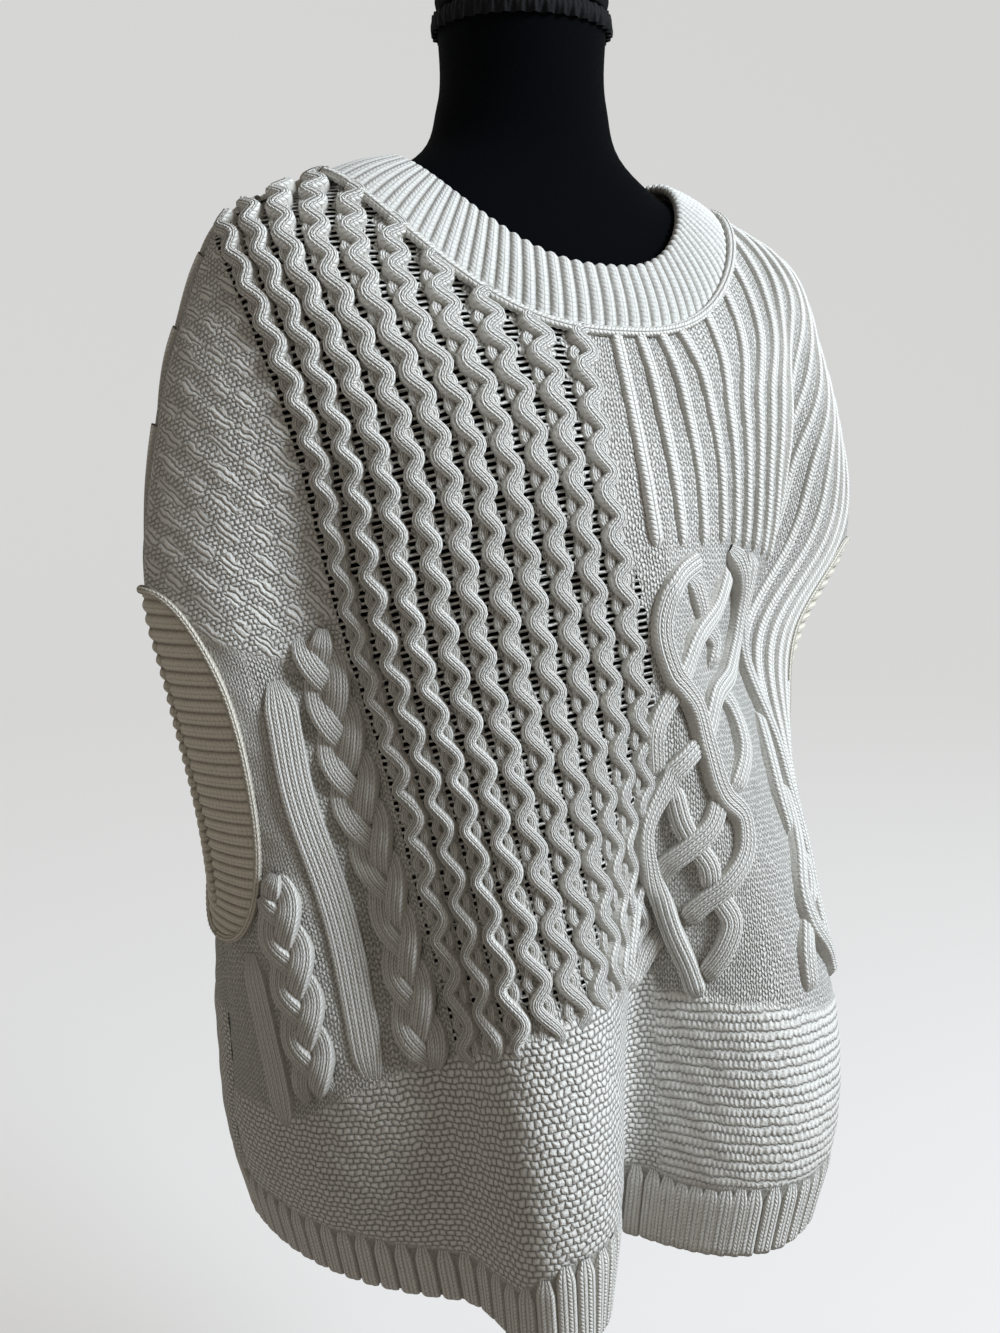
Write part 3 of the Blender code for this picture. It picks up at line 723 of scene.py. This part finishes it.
def neck_rib(material, rows=22, rib=0.0094):
    """The collar: straight from its foot to the neckline with a slight bulge, standing up in single
    ribs, then turned over the neckline and down inside."""
    edge, inward = collar_line()
    half = np.where(edge[:, 0] > 0, NECKLINE.left, NECKLINE.right)
    reach = np.where(edge[:, 1] < 0, NECKLINE.front, NECKLINE.back)
    angle = np.arctan2(edge[:, 0] / half, -edge[:, 1] / reach)
    side = np.abs(np.sin(angle)) ** 2.5
    height = np.where(edge[:, 1] < 0, NECKLINE.z_front, NECKLINE.z_back)
    line = np.stack([half * np.sin(angle), -reach * np.cos(angle),
                     height * (1 - side) + NECKLINE.z_side * side], -1)
    run = unit(line - edge)
    way = np.gradient(np.vstack([line[-1:], line, line[:1]]), axis=0)[1:-1]
    out = unit(np.cross(run, way))
    out *= np.sign((out * -inward).sum(axis=1, keepdims=True))
    steps = np.linalg.norm(np.diff(np.vstack([edge, edge[:1]]), axis=0), axis=1)
    count = round(steps.sum() / rib)
    turn = np.concatenate([[0.0], np.cumsum(steps)])[:-1] / steps.sum() * count
    worn = ease((edge[:, 0] + 0.125) / 0.06)      # the wearer's right side is rubbed flat
    ridge = (0.0005 + 0.0014 * worn) * (0.5 + 0.5 * np.cos(2 * np.pi * turn)) ** 0.7
    width = np.linalg.norm(line - edge, axis=1)
    roll = 0.0015
    down = np.linspace(0.0, 1.0, rows)
    rings, place = [], []
    for k in down:
        ring = edge + (line - edge) * k + out * (COLLAR_BULGE * np.sin(np.pi * k) - 0.0012)
        rings.append(ring + out * (ridge * ease(0.1 + 4 * k))[:, None])
        place.append(k * width)
    for turned in np.linspace(0.3, np.pi, 7):
        centre = line - out * (roll + 0.0012)
        reach_out = roll + ridge[:, None] * 0.9
        rings.append(centre + reach_out * (out * np.cos(turned) + run * np.sin(turned)))
        place.append(width + roll * turned)
    for depth in (0.004, 0.010, 0.017):
        rings.append(line - out * (2 * roll + 0.0012 + 0.5 * ridge[:, None]) - run * depth)
        place.append(width + roll * np.pi + depth)
    points = np.stack(rings, 1)
    knit = np.zeros(points.shape)
    knit[..., 0] = turn[:, None]
    knit[..., 1] = np.stack(place, 1) / COURSE
    return piece("collar", [Patch(points, knit)], material, "collar_rib", ["collar"], loop=True)


def armhole_ring(side, height, width, count=300):
    """A closed ring round one armhole at a height and a width of its superellipse: up the front
    and down the back, with the cloth's outward directions and its levels."""
    theta = np.linspace(0, np.pi, count)
    middle = (ARMHOLE_LOW + ARMHOLE_HIGH) / 2
    v = middle - height * np.sign(np.cos(theta)) * np.abs(np.cos(theta)) ** (2 / 2.6)
    points, outward, level = [], [], []
    for face, order in (("front", slice(None)), ("back", slice(-2, 0, -1))):
        share = side * (1.0 - width * np.sin(theta) ** (2 / 2.6) / girth_at(face, v))
        points.append(surface(face, share, v)[order])
        outward.append(unit(sample(SHEETS[face].outward, share, v))[order])
        level.append(v[order])
    return np.concatenate(points), np.concatenate(outward), np.concatenate(level)


def armband(name, side, material, rib=0.0075, rows=22, roll=0.0020, sunk=0.0008):
    """The ribbed band from the armhole's edge in to its slit, turned under at the slit. Its ribs
    lie level, so a rib's place is its level."""
    half = (ARMHOLE_HIGH - ARMHOLE_LOW) / 2 - SEAM_GAP
    across = np.linspace(0.0, 1.0, rows)
    rings = [armhole_ring(side, half - ARMBAND_ENDS * k, ARMBAND_WIDTH * (1 - k) + SLIT_HALF)
             for k in across]
    ribs = [level * HEM_DROP / rib for _, _, level in rings]
    ridges = [0.0021 * np.abs(np.cos(np.pi * place)) ** 0.9 for place in ribs]
    shown = [ring + out * (ridge * ease(0.1 + 4 * k) - sunk)[:, None]
             for (ring, out, _), ridge, k in zip(rings, ridges, across)]
    edge, out, _ = rings[-1]
    ahead = unit(edge - rings[-3][0])
    for turned in np.linspace(0.5, np.pi, 5):
        shown.append(edge - out * (roll + sunk) + (roll + 0.7 * ridges[-1][:, None])
                     * (out * np.cos(turned) + 0.8 * ahead * np.sin(turned)))
    shown.append(rings[-4][0] - rings[-4][1] * (2 * roll + 0.0012))
    points = np.stack(shown, 1)
    knit = np.zeros(points.shape)
    knit[..., 0] = np.stack(ribs + [ribs[-1]] * 6, 1)
    knit[..., 1] = np.arange(points.shape[1]) * ARMBAND_WIDTH / rows / COURSE
    return piece(name, [Patch(points, knit)], material, name + "_rib", [name], loop=True)


def seam_cord(name, points, outward, radius, material, slot, beads=0.0042, up=0.0010):
    """A closed round cord along a seam, pinched at every stitch: a circle carried round a ring."""
    closed, around = np.vstack([points, points[:1]]), np.vstack([outward, outward[:1]])
    steps = np.linalg.norm(np.diff(closed, axis=0), axis=1)
    run = np.concatenate([[0.0], np.cumsum(steps)])
    at = np.linspace(0.0, run[-1], int(run[-1] / 0.0021), endpoint=False)
    centre = np.stack([np.interp(at, run, closed[:, i]) for i in range(3)], -1)
    normal = unit(np.stack([np.interp(at, run, around[:, i]) for i in range(3)], -1))
    way = np.gradient(np.vstack([centre[-1:], centre, centre[:1]]), axis=0)[1:-1]
    side = unit(np.cross(way, normal))
    angle = np.linspace(0.0, 2 * np.pi, 11)
    size = radius * (1.0 - 0.10 * np.cos(2 * np.pi * at / beads))[:, None, None]
    circle = side[:, None] * np.cos(angle)[:, None] + normal[:, None] * np.sin(angle)[:, None]
    points = (centre + normal * up)[:, None] + size * circle
    knit = np.zeros(points.shape)
    knit[..., 0] = angle / np.pi * 1.5
    knit[..., 1] = (at / COURSE)[:, None]
    return piece(name, [Patch(points, knit)], material, slot, loop=True)


# ---------------------------------------------------------------- dress form and stand
def turned(name, rows, material, slot, replaces, columns=96):
    """Level outlines (z, half width, forward reach, backward reach) joined into one closed skin."""
    angle = np.linspace(0.0, 2 * np.pi, columns, endpoint=False)
    rings = []
    for z, half, front, back in rows:
        reach = front + (back - front) * ease(0.5 - 1.2 * np.cos(angle))
        rings.append(np.stack([half * np.sin(angle), -reach * np.cos(angle), np.full(columns, z)], -1))
    points = np.stack(rings, 1)
    piece(name, [Patch(points, np.zeros(points.shape))], material, slot, replaces, loop=True)


def body_form(material):
    z = np.linspace(FORM[0].z, FORM[-1].z, 150)
    rows = [(h, *(float(through(FORM, name, h)) for name in ("half", "front", "back"))) for h in z]
    low = FORM[0]
    foot = [(low.z, s * low.half, s * 0.98 * low.front, s * 0.98 * low.back)
            for s in (0.02, 0.5, 0.90, 0.96)]
    rows[0] = (low.z + 0.004, low.half, low.front, low.back)
    crown = [(NECK_TOP, s * NECK_RADIUS, s * NECK_RADIUS, s * NECK_RADIUS) for s in (0.6, 0.02)]
    turned("dress_form", foot + rows + crown, material, "form_jersey", ["dress_form"])


def dome_rows(profile):
    return [(z, r, r, r) for z, r in profile]


def neck_cap(material):
    profile = [(NECK_TOP + 0.0005, 0.04), (NECK_TOP + 0.0005, 0.9), (NECK_TOP + 0.002, 1.0),
               (NECK_TOP + 0.008, 1.025), (NECK_TOP + 0.016, 1.01), (NECK_TOP + 0.024, 0.95),
               (NECK_TOP + 0.032, 0.85), (NECK_TOP + 0.040, 0.69), (NECK_TOP + 0.0455, 0.48),
               (NECK_TOP + 0.0490, 0.24), (NECK_TOP + 0.0500, 0.02)]
    z = np.array([p[0] for p in profile])
    r = np.array([p[1] for p in profile]) * NECK_RADIUS
    t = np.linspace(0, len(z) - 1, 60)
    rows = dome_rows(zip(np.interp(t, np.arange(len(z)), z), np.interp(t, np.arange(len(z)), r)))
    turned("neck_cap", rows, material, "cap_cloth", ["neck_cap"])


def neck_trim(material):
    """Gathered lace round the neck's top edge: a band whose lower edge flutes in and out."""
    angle = np.linspace(0.0, 2 * np.pi, 480, endpoint=False)
    spoke = np.stack([np.sin(angle), -np.cos(angle), 0 * angle], -1)
    rings = []
    for k in np.linspace(0.0, 1.0, 12):
        flute = 0.0016 * np.sin(40 * angle) * np.abs(k - 0.35) / 0.65 + 0.0004 * np.sin(97 * angle)
        bulge = 0.0022 + 0.0012 * np.sin(np.pi * k)
        level = NECK_TOP - 0.001 - 0.011 * k
        rings.append(spoke * (NECK_RADIUS + bulge + flute)[:, None] + [0.0, 0.0, level])
    points = np.stack(rings, 1)
    knit = np.zeros(points.shape)
    knit[..., 0] = (angle * 40 / (2 * np.pi))[:, None]
    knit[..., 1] = np.linspace(0, 7, 12)
    piece("neck_trim", [Patch(points, knit)], material, "trim_lace", ["neck_trim"], loop=True)


def stand(pole_material, base_material):
    base = [(0.0, 0.02), (0.0, 0.80), (0.0, 0.955), (0.0015, 0.985), (0.004, 1.0), (0.016, 1.0),
            (0.0195, 0.985), (0.0212, 0.960), (0.022, 0.925), (0.022, 0.6), (0.0235, 0.2), (0.026, 0.12),
            (0.026, 0.02)]
    rows = dome_rows([(z, r * BASE_RADIUS) for z, r in base])
    turned("stand_base", rows, base_material, "base_steel", ["stand_base"], columns=160)
    z = np.linspace(0.0262, FORM[0].z - 0.0006, 40)
    pole = dome_rows([(z[0], 0.001)] + [(h, POLE_RADIUS) for h in z] + [(z[-1], 0.001)])
    turned("stand_pole", pole, pole_material, "pole_steel", ["stand_pole"], columns=48)


# ---------------------------------------------------------------- writing patterns as sums
class Wire:
    """A value inside a node tree, so that a pattern can be written as plain arithmetic."""

    def __init__(self, tree, socket):
        self.tree, self.socket = tree, socket

    def of(self, operation, *others):
        node = self.tree.nodes.new("ShaderNodeMath")
        node.operation = operation
        for place, value in enumerate((self, *others)):
            if isinstance(value, Wire):
                self.tree.links.new(value.socket, node.inputs[place])
            else:
                node.inputs[place].default_value = value
        return Wire(self.tree, node.outputs[0])

    def __add__(self, other):
        return self.of("ADD", other)

    def __mul__(self, other):
        return self.of("MULTIPLY", other)

    def __sub__(self, other):
        return self.of("SUBTRACT", other)

    def __rsub__(self, other):
        return self.of("MULTIPLY_ADD", -1.0, other)

    def __truediv__(self, other):
        return self.of("DIVIDE", other)

    def __abs__(self):
        return self.of("ABSOLUTE")

    __radd__, __rmul__ = __add__, __mul__

    def part(self):
        return self.of("FRACT")

    def floor(self):
        return self.of("FLOOR")

    def power(self, exponent):
        return self.of("POWER", exponent)

    def clamp(self):
        return self.of("MAXIMUM", 0.0).of("MINIMUM", 1.0)

    def dome(self):
        """A half circle over a value that runs from 0 to 1: 0 at both ends, 1 in the middle."""
        middle = self * 2.0 - 1.0
        return (1.0 - middle * middle).of("MAXIMUM", 0.0).of("SQRT")

    def wave(self, cycles=1.0):
        return (self * (2 * np.pi * cycles)).of("COSINE")


def pattern(name, inputs, outputs, build):
    """A node group with named number inputs, whose outputs are what build returns."""
    tree = bpy.data.node_groups.new(name, "ShaderNodeTree")
    start, end = tree.nodes.new("NodeGroupInput"), tree.nodes.new("NodeGroupOutput")
    for label in inputs:
        tree.interface.new_socket(label, in_out="INPUT", socket_type="NodeSocketFloat")
    for label in outputs:
        tree.interface.new_socket(label, in_out="OUTPUT", socket_type="NodeSocketFloat")
    results = build(*[Wire(tree, start.outputs[label]) for label in inputs])
    for label, result in zip(outputs, results):
        tree.links.new(result.socket, end.inputs[label])
    return tree


def use(group, *values):
    """The outputs of a pattern, placed in the node tree of the values it is given."""
    tree = next(value.tree for value in values if isinstance(value, Wire))
    node = tree.nodes.new("ShaderNodeGroup")
    node.node_tree = group
    for place, value in enumerate(values):
        if isinstance(value, Wire):
            tree.links.new(value.socket, node.inputs[place])
        else:
            node.inputs[place].default_value = value
    return [Wire(tree, socket) for socket in node.outputs]


def stocking_stitch(wale, course):
    """Columns of Vs: two slanting legs a stitch, each a rounded strand."""
    across = abs(wale.part() * 2.0 - 1.0)
    leg = (across.part()).dome()
    along_leg = (course - across * 0.72).part().dome()
    return [leg.power(0.8) * (along_leg * 0.62 + 0.38)]


def purl_stitch(wale, course):
    """Rows of interlocked arcs: the wavy reverse of stocking stitch."""
    row = (course * 0.8 + wale.wave() * 0.30).part().dome()
    return [row * (wale.wave(2.0) * 0.30 + 0.74)]


def moss_stitch(wale, course):
    """Round bumps about a stitch wide, each row half a bump along from the last."""
    x, y = wale * 0.88 + course.wave(0.31) * 0.06, course * 0.74 + wale.wave(0.23) * 0.10
    bump = (x + y.floor() * 0.5).part().dome() * y.part().dome()
    return [bump.power(0.9)]


def garter_stitch(wale, course):
    """Ridges every two courses, each a row of small loops."""
    ridge = (course * 0.5 + wale.wave() * 0.07).part().dome()
    loops = (wale + (course * 0.5).floor() * 0.5).wave()
    return [ridge * (loops * 0.16 + 0.84)]


def basket_stitch(wale, course):
    """Rows of small purl dots, with short slanting strands laid over them like bricks."""
    y = course / 6.0 + wale.wave(0.11) * 0.22
    x = wale / 4.6 + y.floor() * 0.43 + course * 0.06
    inside = ((x.part().dome() - 0.78) * 6.0).clamp() * ((y.part().dome() - 0.55) * 4.0).clamp()
    strand = (wale * 0.9 + course * 0.50).part().dome()
    dots = (wale * 1.1 + course.floor() * 0.5).part().dome() * course.part().dome()
    return [strand * inside + (dots * 0.75 + 0.12) * (1.0 - inside)]


def ladder_bars(wale, course, half):
    """Holes between the waves, crossed by a bar of yarn every 1.4 courses."""
    place = ((wale - float(FIRST_WAVE)) / WAVE_PITCH + 0.5).part() - 0.5
    place = 0.5 - abs(place)
    inside = ((half - place * WAVE_PITCH) / 0.0005).clamp()
    bar = (course / (1.4 * COURSE)).part()
    gap = ((bar - 0.36) * 12.0).clamp() * ((0.99 - bar) * 12.0).clamp()
    return [inside * gap, inside]


STITCHES = {
    build.__name__: pattern(build.__name__, inputs, outputs, build)
    for build, inputs, outputs in (
        (stocking_stitch, ["Wale", "Course"], ["Height"]),
        (purl_stitch, ["Wale", "Course"], ["Height"]),
        (moss_stitch, ["Wale", "Course"], ["Height"]),
        (garter_stitch, ["Wale", "Course"], ["Height"]),
        (basket_stitch, ["Wale", "Course"], ["Height"]),
        (ladder_bars, ["Wale", "Course", "Half"], ["Hole", "Ladder"]),
    )
}


def field(tree, name):
    """The three numbers of a piece's vector field."""
    node = tree.nodes.new("ShaderNodeAttribute")
    node.attribute_name = name
    split = tree.nodes.new("ShaderNodeSeparateXYZ")
    tree.links.new(node.outputs["Vector"], split.inputs[0])
    return [Wire(tree, socket) for socket in split.outputs]


def noise(tree, scale, detail=3.0, stretch=(1.0, 1.0, 1.0)):
    """A cloudy value from 0 to 1 over the object's own place."""
    place = tree.nodes.new("ShaderNodeTexCoord")
    turn = tree.nodes.new("ShaderNodeMapping")
    turn.inputs["Scale"].default_value = stretch
    cloud = tree.nodes.new("ShaderNodeTexNoise")
    cloud.inputs["Scale"].default_value = scale
    cloud.inputs["Detail"].default_value = detail
    tree.links.new(place.outputs["Object"], turn.inputs["Vector"])
    tree.links.new(turn.outputs["Vector"], cloud.inputs["Vector"])
    return Wire(tree, cloud.outputs["Fac"])


def blend(tree, amount, low, high):
    """A colour between two, by an amount."""
    node = tree.nodes.new("ShaderNodeMix")
    node.data_type = "RGBA"
    tree.links.new(amount.socket, node.inputs["Factor"])
    for place, colour in ((6, low), (7, high)):
        if isinstance(colour, Wire):
            tree.links.new(colour.socket, node.inputs[place])
        else:
            node.inputs[place].default_value = (*colour, 1.0)
    return Wire(tree, node.outputs[2])


def finish(name, roughness, sheen=0.0, sheen_roughness=0.5, specular=0.3, metallic=0.0):
    """A new material, its node tree and its shader."""
    material = bpy.data.materials.new(name)
    material.use_nodes = True
    tree = material.node_tree
    shader = tree.nodes["Principled BSDF"]
    shader.inputs["Roughness"].default_value = roughness
    shader.inputs["Sheen Weight"].default_value = sheen
    shader.inputs["Sheen Roughness"].default_value = sheen_roughness
    shader.inputs["Specular IOR Level"].default_value = specular
    shader.inputs["Metallic"].default_value = metallic
    return material, tree, shader


def raise_surface(tree, shader, height, distance):
    bump = tree.nodes.new("ShaderNodeBump")
    bump.inputs["Distance"].default_value = distance
    tree.links.new(height.socket, bump.inputs["Height"])
    tree.links.new(bump.outputs["Normal"], shader.inputs["Normal"])


# The ivory yarn's colour, then the painted shade colour for the gaps between its stitches.
IVORY, IVORY_PAINTED_GAP_SHADE = (0.84, 0.82, 0.78), (0.24, 0.225, 0.20)
# The armbands' colour: the same ivory yarn painted darker and warmer as the shade they hang in, then the
# painted shade for its gaps.
IVORY_PAINTED_WARM_SHADE, IVORY_PAINTED_WARM_GAP_SHADE = (0.82, 0.77, 0.67), (0.28, 0.25, 0.20)


def yarn(tree, shader, height, light, painted_shade, distance, depth=1.0):
    """Cotton yarn: pale on the stitches, darkened with painted shade in the gaps, with a soft fleck and a
    fine fuzz.
    """
    fleck = noise(tree, 750.0, 3.0)
    cloud = noise(tree, 16.0, 3.0)
    # Low stitch heights blend towards the painted shade colour, and depth sets how strongly; fleck and
    # cloud are the yarn's own tone.
    tone = (height * depth + (1.08 - depth) + (fleck - 0.5) * 0.80 + (cloud - 0.5) * 0.30).clamp()
    colour = blend(tree, tone, painted_shade, light)
    tree.links.new(colour.socket, shader.inputs["Base Color"])
    raise_surface(tree, shader, height + (fleck - 0.5) * 0.45, distance)


def cord_yarn(name, light=IVORY, painted_shade=IVORY_PAINTED_GAP_SHADE, distance=0.0013):
    """Stocking stitch running along a raised cord."""
    material, tree, shader = finish(name, 0.92, sheen=0.18)
    wale, course, _ = field(tree, "knit")
    height, = use(STITCHES["stocking_stitch"], wale, course)
    # The grooves between the cord's stitch columns are lowered, so they darken with painted shade as well
    # as sinking in the bump.
    groove = abs(wale.part() * 2.0 - 1.0).power(5.0)
    yarn(tree, shader, height * (1.0 - groove * 0.75), light, painted_shade, distance, 0.82)
    return material


def rib_yarn(name, light, painted_shade):
    """Single rib: stocking stitch on the ridges and a furrow between them darkened with painted shade."""
    material, tree, shader = finish(name, 0.92, sheen=0.18)
    wale, course, _ = field(tree, "knit")
    height, = use(STITCHES["stocking_stitch"], wale + 0.5, course)
    furrow = abs((wale + 0.5).part() * 2.0 - 1.0)
    ridge = (1.0 - furrow.power(3.0)).clamp()
    yarn(tree, shader, (height * 0.55 + 0.45) * ridge, light, painted_shade, 0.0010)
    return material


def ground_yarn(name, light=IVORY, painted_shade=IVORY_PAINTED_GAP_SHADE):
    """The panels' ground: each zone's own stitch, with see-through ladders between the waves."""
    material, tree, shader = finish(name, 0.93, sheen=0.18)
    across, up, half = field(tree, "knit")
    uneven = noise(tree, 140.0, 2.0) - 0.5
    wale, course = across / WALE + uneven * 0.9, up / COURSE + uneven * 1.3
    heights = [use(STITCHES[stitch], wale, course)[0] for stitch in
               ("stocking_stitch", "purl_stitch", "moss_stitch", "garter_stitch", "basket_stitch")]
    weights = field(tree, "stitches_a") + field(tree, "stitches_b")
    total = heights[0] * weights[0]
    for height, weight in zip(heights[1:], weights[1:5]):
        total = total + height * weight
    # Under the hem's ribs the ground gets a low flat height, so it takes the painted shade colour between
    # the ribs.
    total = total + weights[5] * 0.10
    hole, ladder = use(STITCHES["ladder_bars"], across, up, half)
    bars = ((course / 1.4).part() * 2.6).of("MINIMUM", 1.0).dome()
    total = total * (1.0 - ladder) + bars * ladder * 0.8
    yarn(tree, shader, total, light, painted_shade, 0.0020, 1.05)
    tree.links.new((1.0 - hole).socket, shader.inputs["Alpha"])
    return material


def jersey(name, dark, pale, scale=2600.0, roughness=0.9, sheen=0.0):
    """Close black jersey: fine stitches in rows, with a little pale lint."""
    material, tree, shader = finish(name, roughness, sheen=sheen, sheen_roughness=0.4, specular=0.04)
    grain = noise(tree, scale, 2.0, (1.0, 1.0, 0.35))
    lint = ((noise(tree, 520.0, 1.0) - 0.72) * 8.0).clamp()
    colour = blend(tree, (grain * 0.5 + lint * 0.35).clamp(), dark, pale)
    tree.links.new(colour.socket, shader.inputs["Base Color"])
    raise_surface(tree, shader, grain, 0.0004)
    return material


def painted_steel(name, dark, pale, roughness, metallic):
    material, tree, shader = finish(name, roughness, metallic=metallic, specular=0.5)
    wear = noise(tree, 90.0, 4.0)
    tree.links.new(blend(tree, wear, dark, pale).socket, shader.inputs["Base Color"])
    tree.links.new((wear * 0.16 + (roughness - 0.08)).socket, shader.inputs["Roughness"])
    raise_surface(tree, shader, noise(tree, 1400.0, 2.0), 0.00005)
    return material


# ---------------------------------------------------------------- making the sweater
def clear(pieces):
    return [made for made in pieces if made is not None]


knit_ground = ground_yarn("ivory_knit")
# The cords' painted shade between their stitches is paler than the ground's.
knit_cords = cord_yarn("ivory_cords", painted_shade=(0.36, 0.34, 0.30))

front = ground("front", knit_ground, 300, 322, front_zones)
back = ground("back", knit_ground, 240, 250, back_zones)

plump, flat = waves("front", WAVE_COUNT, FIRST_WAVE,
                    lambda wale: along(MOSS_TOP, wale) - 0.012, 1.0)
wave_cords = piece("wave_cords", clear(plump), knit_cords, "front_knit")
wave_under = piece("wave_under_cords", clear(flat), knit_cords, "front_knit")

plaits = plait("front", PLAIT_NEAR, 0.235, 0.640) + plait("front", PLAIT_FAR, 0.190, 0.425)
for wale, v in ((BAND_NEAR, np.linspace(0.215, 0.600, 300)), (BAND_FAR, np.linspace(0.150, 0.330, 200))):
    plaits.append(ribbon("front", wale, v, BAND_WIDTH, BAND_HEIGHT, wales=5, tapers=(0.02, 0.02),
                         sides=30, crown=0.4))
front_plaits = piece("front_plaits", clear(plaits), knit_cords, "front_knit")

crossings = lattice("front", TALL_LATTICE) + lattice("front", SIDE_LATTICE)
front_lattice = piece("front_lattice", clear(crossings), knit_cords, "front_knit")

ribs = single_ribs("front", -0.003 + RIB_PITCH * np.arange(0, 24), lambda wale: along(RIB_FOOT, wale), 1.0)
front_ribs = piece("front_ribs", clear(ribs), knit_cords, "front_knit")
ribs = hem_ribs("front", HEM_RIB_PITCH * np.arange(-36, 45), lambda wale: along(HEM_TOP, wale))
front_hem = piece("front_hem_ribs", clear(ribs), knit_cords, "front_knit")

ribs = single_ribs("back", RIB_PITCH * np.arange(-20, 21), lambda wale: BACK_BAND_TOP - 0.012, 1.0)
back_ribs = piece("back_ribs", clear(ribs), knit_cords, "back_knit")
ribs = hem_ribs("back", HEM_RIB_PITCH * (np.arange(-31, 31) + 0.5), lambda wale: BACK_HEM_TOP)
back_hem = piece("back_hem_ribs", clear(ribs), knit_cords, "back_knit")

collar_rib = rib_yarn("ivory_collar_rib", (0.75, 0.74, 0.71), IVORY_PAINTED_GAP_SHADE)
collar = neck_rib(collar_rib)
foot, inward = collar_line()
collar_cord = seam_cord("collar_seam_cord", foot, -inward, COLLAR_CORD, knit_cords, "collar_rib",
                        up=0.0012)

# The armbands and their seam cords take the ivory yarn painted in warm shade.
armband_rib_painted_shade = rib_yarn("armband_rib_in_painted_shade", IVORY_PAINTED_WARM_SHADE, IVORY_PAINTED_WARM_GAP_SHADE)
armband_cord_painted_shade = cord_yarn("armband_cord_painted_shade", IVORY_PAINTED_WARM_SHADE, IVORY_PAINTED_WARM_GAP_SHADE)
armbands, armband_cords = [], []
for name, side in (("armband_right", -1), ("armband_left", 1)):
    armbands.append(armband(name, side, armband_rib_painted_shade))
    ring, out, _ = armhole_ring(side, (ARMHOLE_HIGH - ARMHOLE_LOW) / 2,
                                ARMBAND_WIDTH + SLIT_HALF + SEAM_GAP)
    armband_cords.append(seam_cord(name + "_seam_cord", ring, out, ARMBAND_CORD, armband_cord_painted_shade,
                                   name + "_rib"))

black_jersey = jersey("black_jersey", (0.0003, 0.0006, 0.0012), (0.0022, 0.0030, 0.0040))
body_form(black_jersey)
neck_cap(jersey("black_cap_cloth", (0.005, 0.005, 0.006), (0.020, 0.020, 0.022)))
neck_trim(jersey("black_lace", (0.003, 0.003, 0.004), (0.030, 0.030, 0.032), 1500.0, 0.6, 0.1))
stand(painted_steel("black_pole_steel", (0.020, 0.020, 0.022), (0.045, 0.045, 0.047), 0.35, 0.9),
      painted_steel("black_base_steel", (0.016, 0.016, 0.018), (0.035, 0.035, 0.037), 0.45, 0.6))


# ---------------------------------------------------------------- camera, light and studio
def look_at(obj, target):
    x, y, z = np.array(target) - np.array(obj.location)
    obj.rotation_euler = (np.arctan2(np.hypot(x, y), -z), 0.0, np.arctan2(y, x) - np.pi / 2)


def soft_light(name, place, target, size, power, colour):
    lamp = bpy.data.lights.new(name, "AREA")
    lamp.shape, lamp.size, lamp.energy, lamp.color = "DISK", size, power, colour
    obj = bpy.data.objects.new(name, lamp)
    obj.location = place
    bpy.context.scene.collection.objects.link(obj)
    look_at(obj, target)


def studio(material):
    """A round pale floor that curves up into a wall: one profile turned about the Z axis."""
    turn = np.linspace(0.0, np.pi / 2, 14)
    radius = np.concatenate([[0.0, 1.0, 2.5], 4.0 + 1.6 * np.sin(turn), [5.6]])
    height = np.concatenate([[0.0, 0.0, 0.0], 1.6 - 1.6 * np.cos(turn), [5.0]])
    angle = np.linspace(0.0, 2 * np.pi, 129)
    points = np.stack([radius[:, None] * np.sin(angle), radius[:, None] * np.cos(angle),
                       height[:, None] - 0.0004 + 0 * angle], -1)
    index = np.arange(points[..., 0].size).reshape(points.shape[:2])
    faces = np.stack([index[:-1, :-1], index[:-1, 1:], index[1:, 1:], index[1:, :-1]], -1).reshape(-1, 4)
    obj = object_of("studio_sweep", points.reshape(-1, 3), faces[:, ::-1], material)
    obj.visible_shadow = obj.visible_diffuse = False


floor_paint, _, floor_shader = finish("pale_floor", 0.9, specular=0.1)
floor_shader.inputs["Base Color"].default_value = (0.35, 0.35, 0.35, 1.0)
floor_shader.inputs["Emission Color"].default_value = (1.0, 1.0, 1.0, 1.0)
floor_shader.inputs["Emission Strength"].default_value = 0.55
studio(floor_paint)

camera = bpy.data.objects.new("camera", bpy.data.cameras.new("camera"))
camera.data.lens, camera.data.sensor_width = 35.1, 36.0
camera.data.shift_x = -0.0165
camera.data.clip_start = 0.05
camera.location = (-0.490, -0.755, 1.000)
camera.rotation_euler = (np.radians(79.0), 0.0, np.radians(-33.0))
bpy.context.scene.collection.objects.link(camera)
bpy.context.scene.camera = camera

soft_light("window", (1.35, -2.05, 2.45), (0.0, 0.0, 0.85), 1.2, 122.0, (0.83, 0.92, 1.0))
world = bpy.data.worlds.new("room")
world.use_nodes = True
world.node_tree.nodes["Background"].inputs["Color"].default_value = (1.0, 0.92, 0.80, 1.0)
world.node_tree.nodes["Background"].inputs["Strength"].default_value = 0.22
bpy.context.scene.world = world
bpy.context.scene.view_settings.view_transform = "Standard"
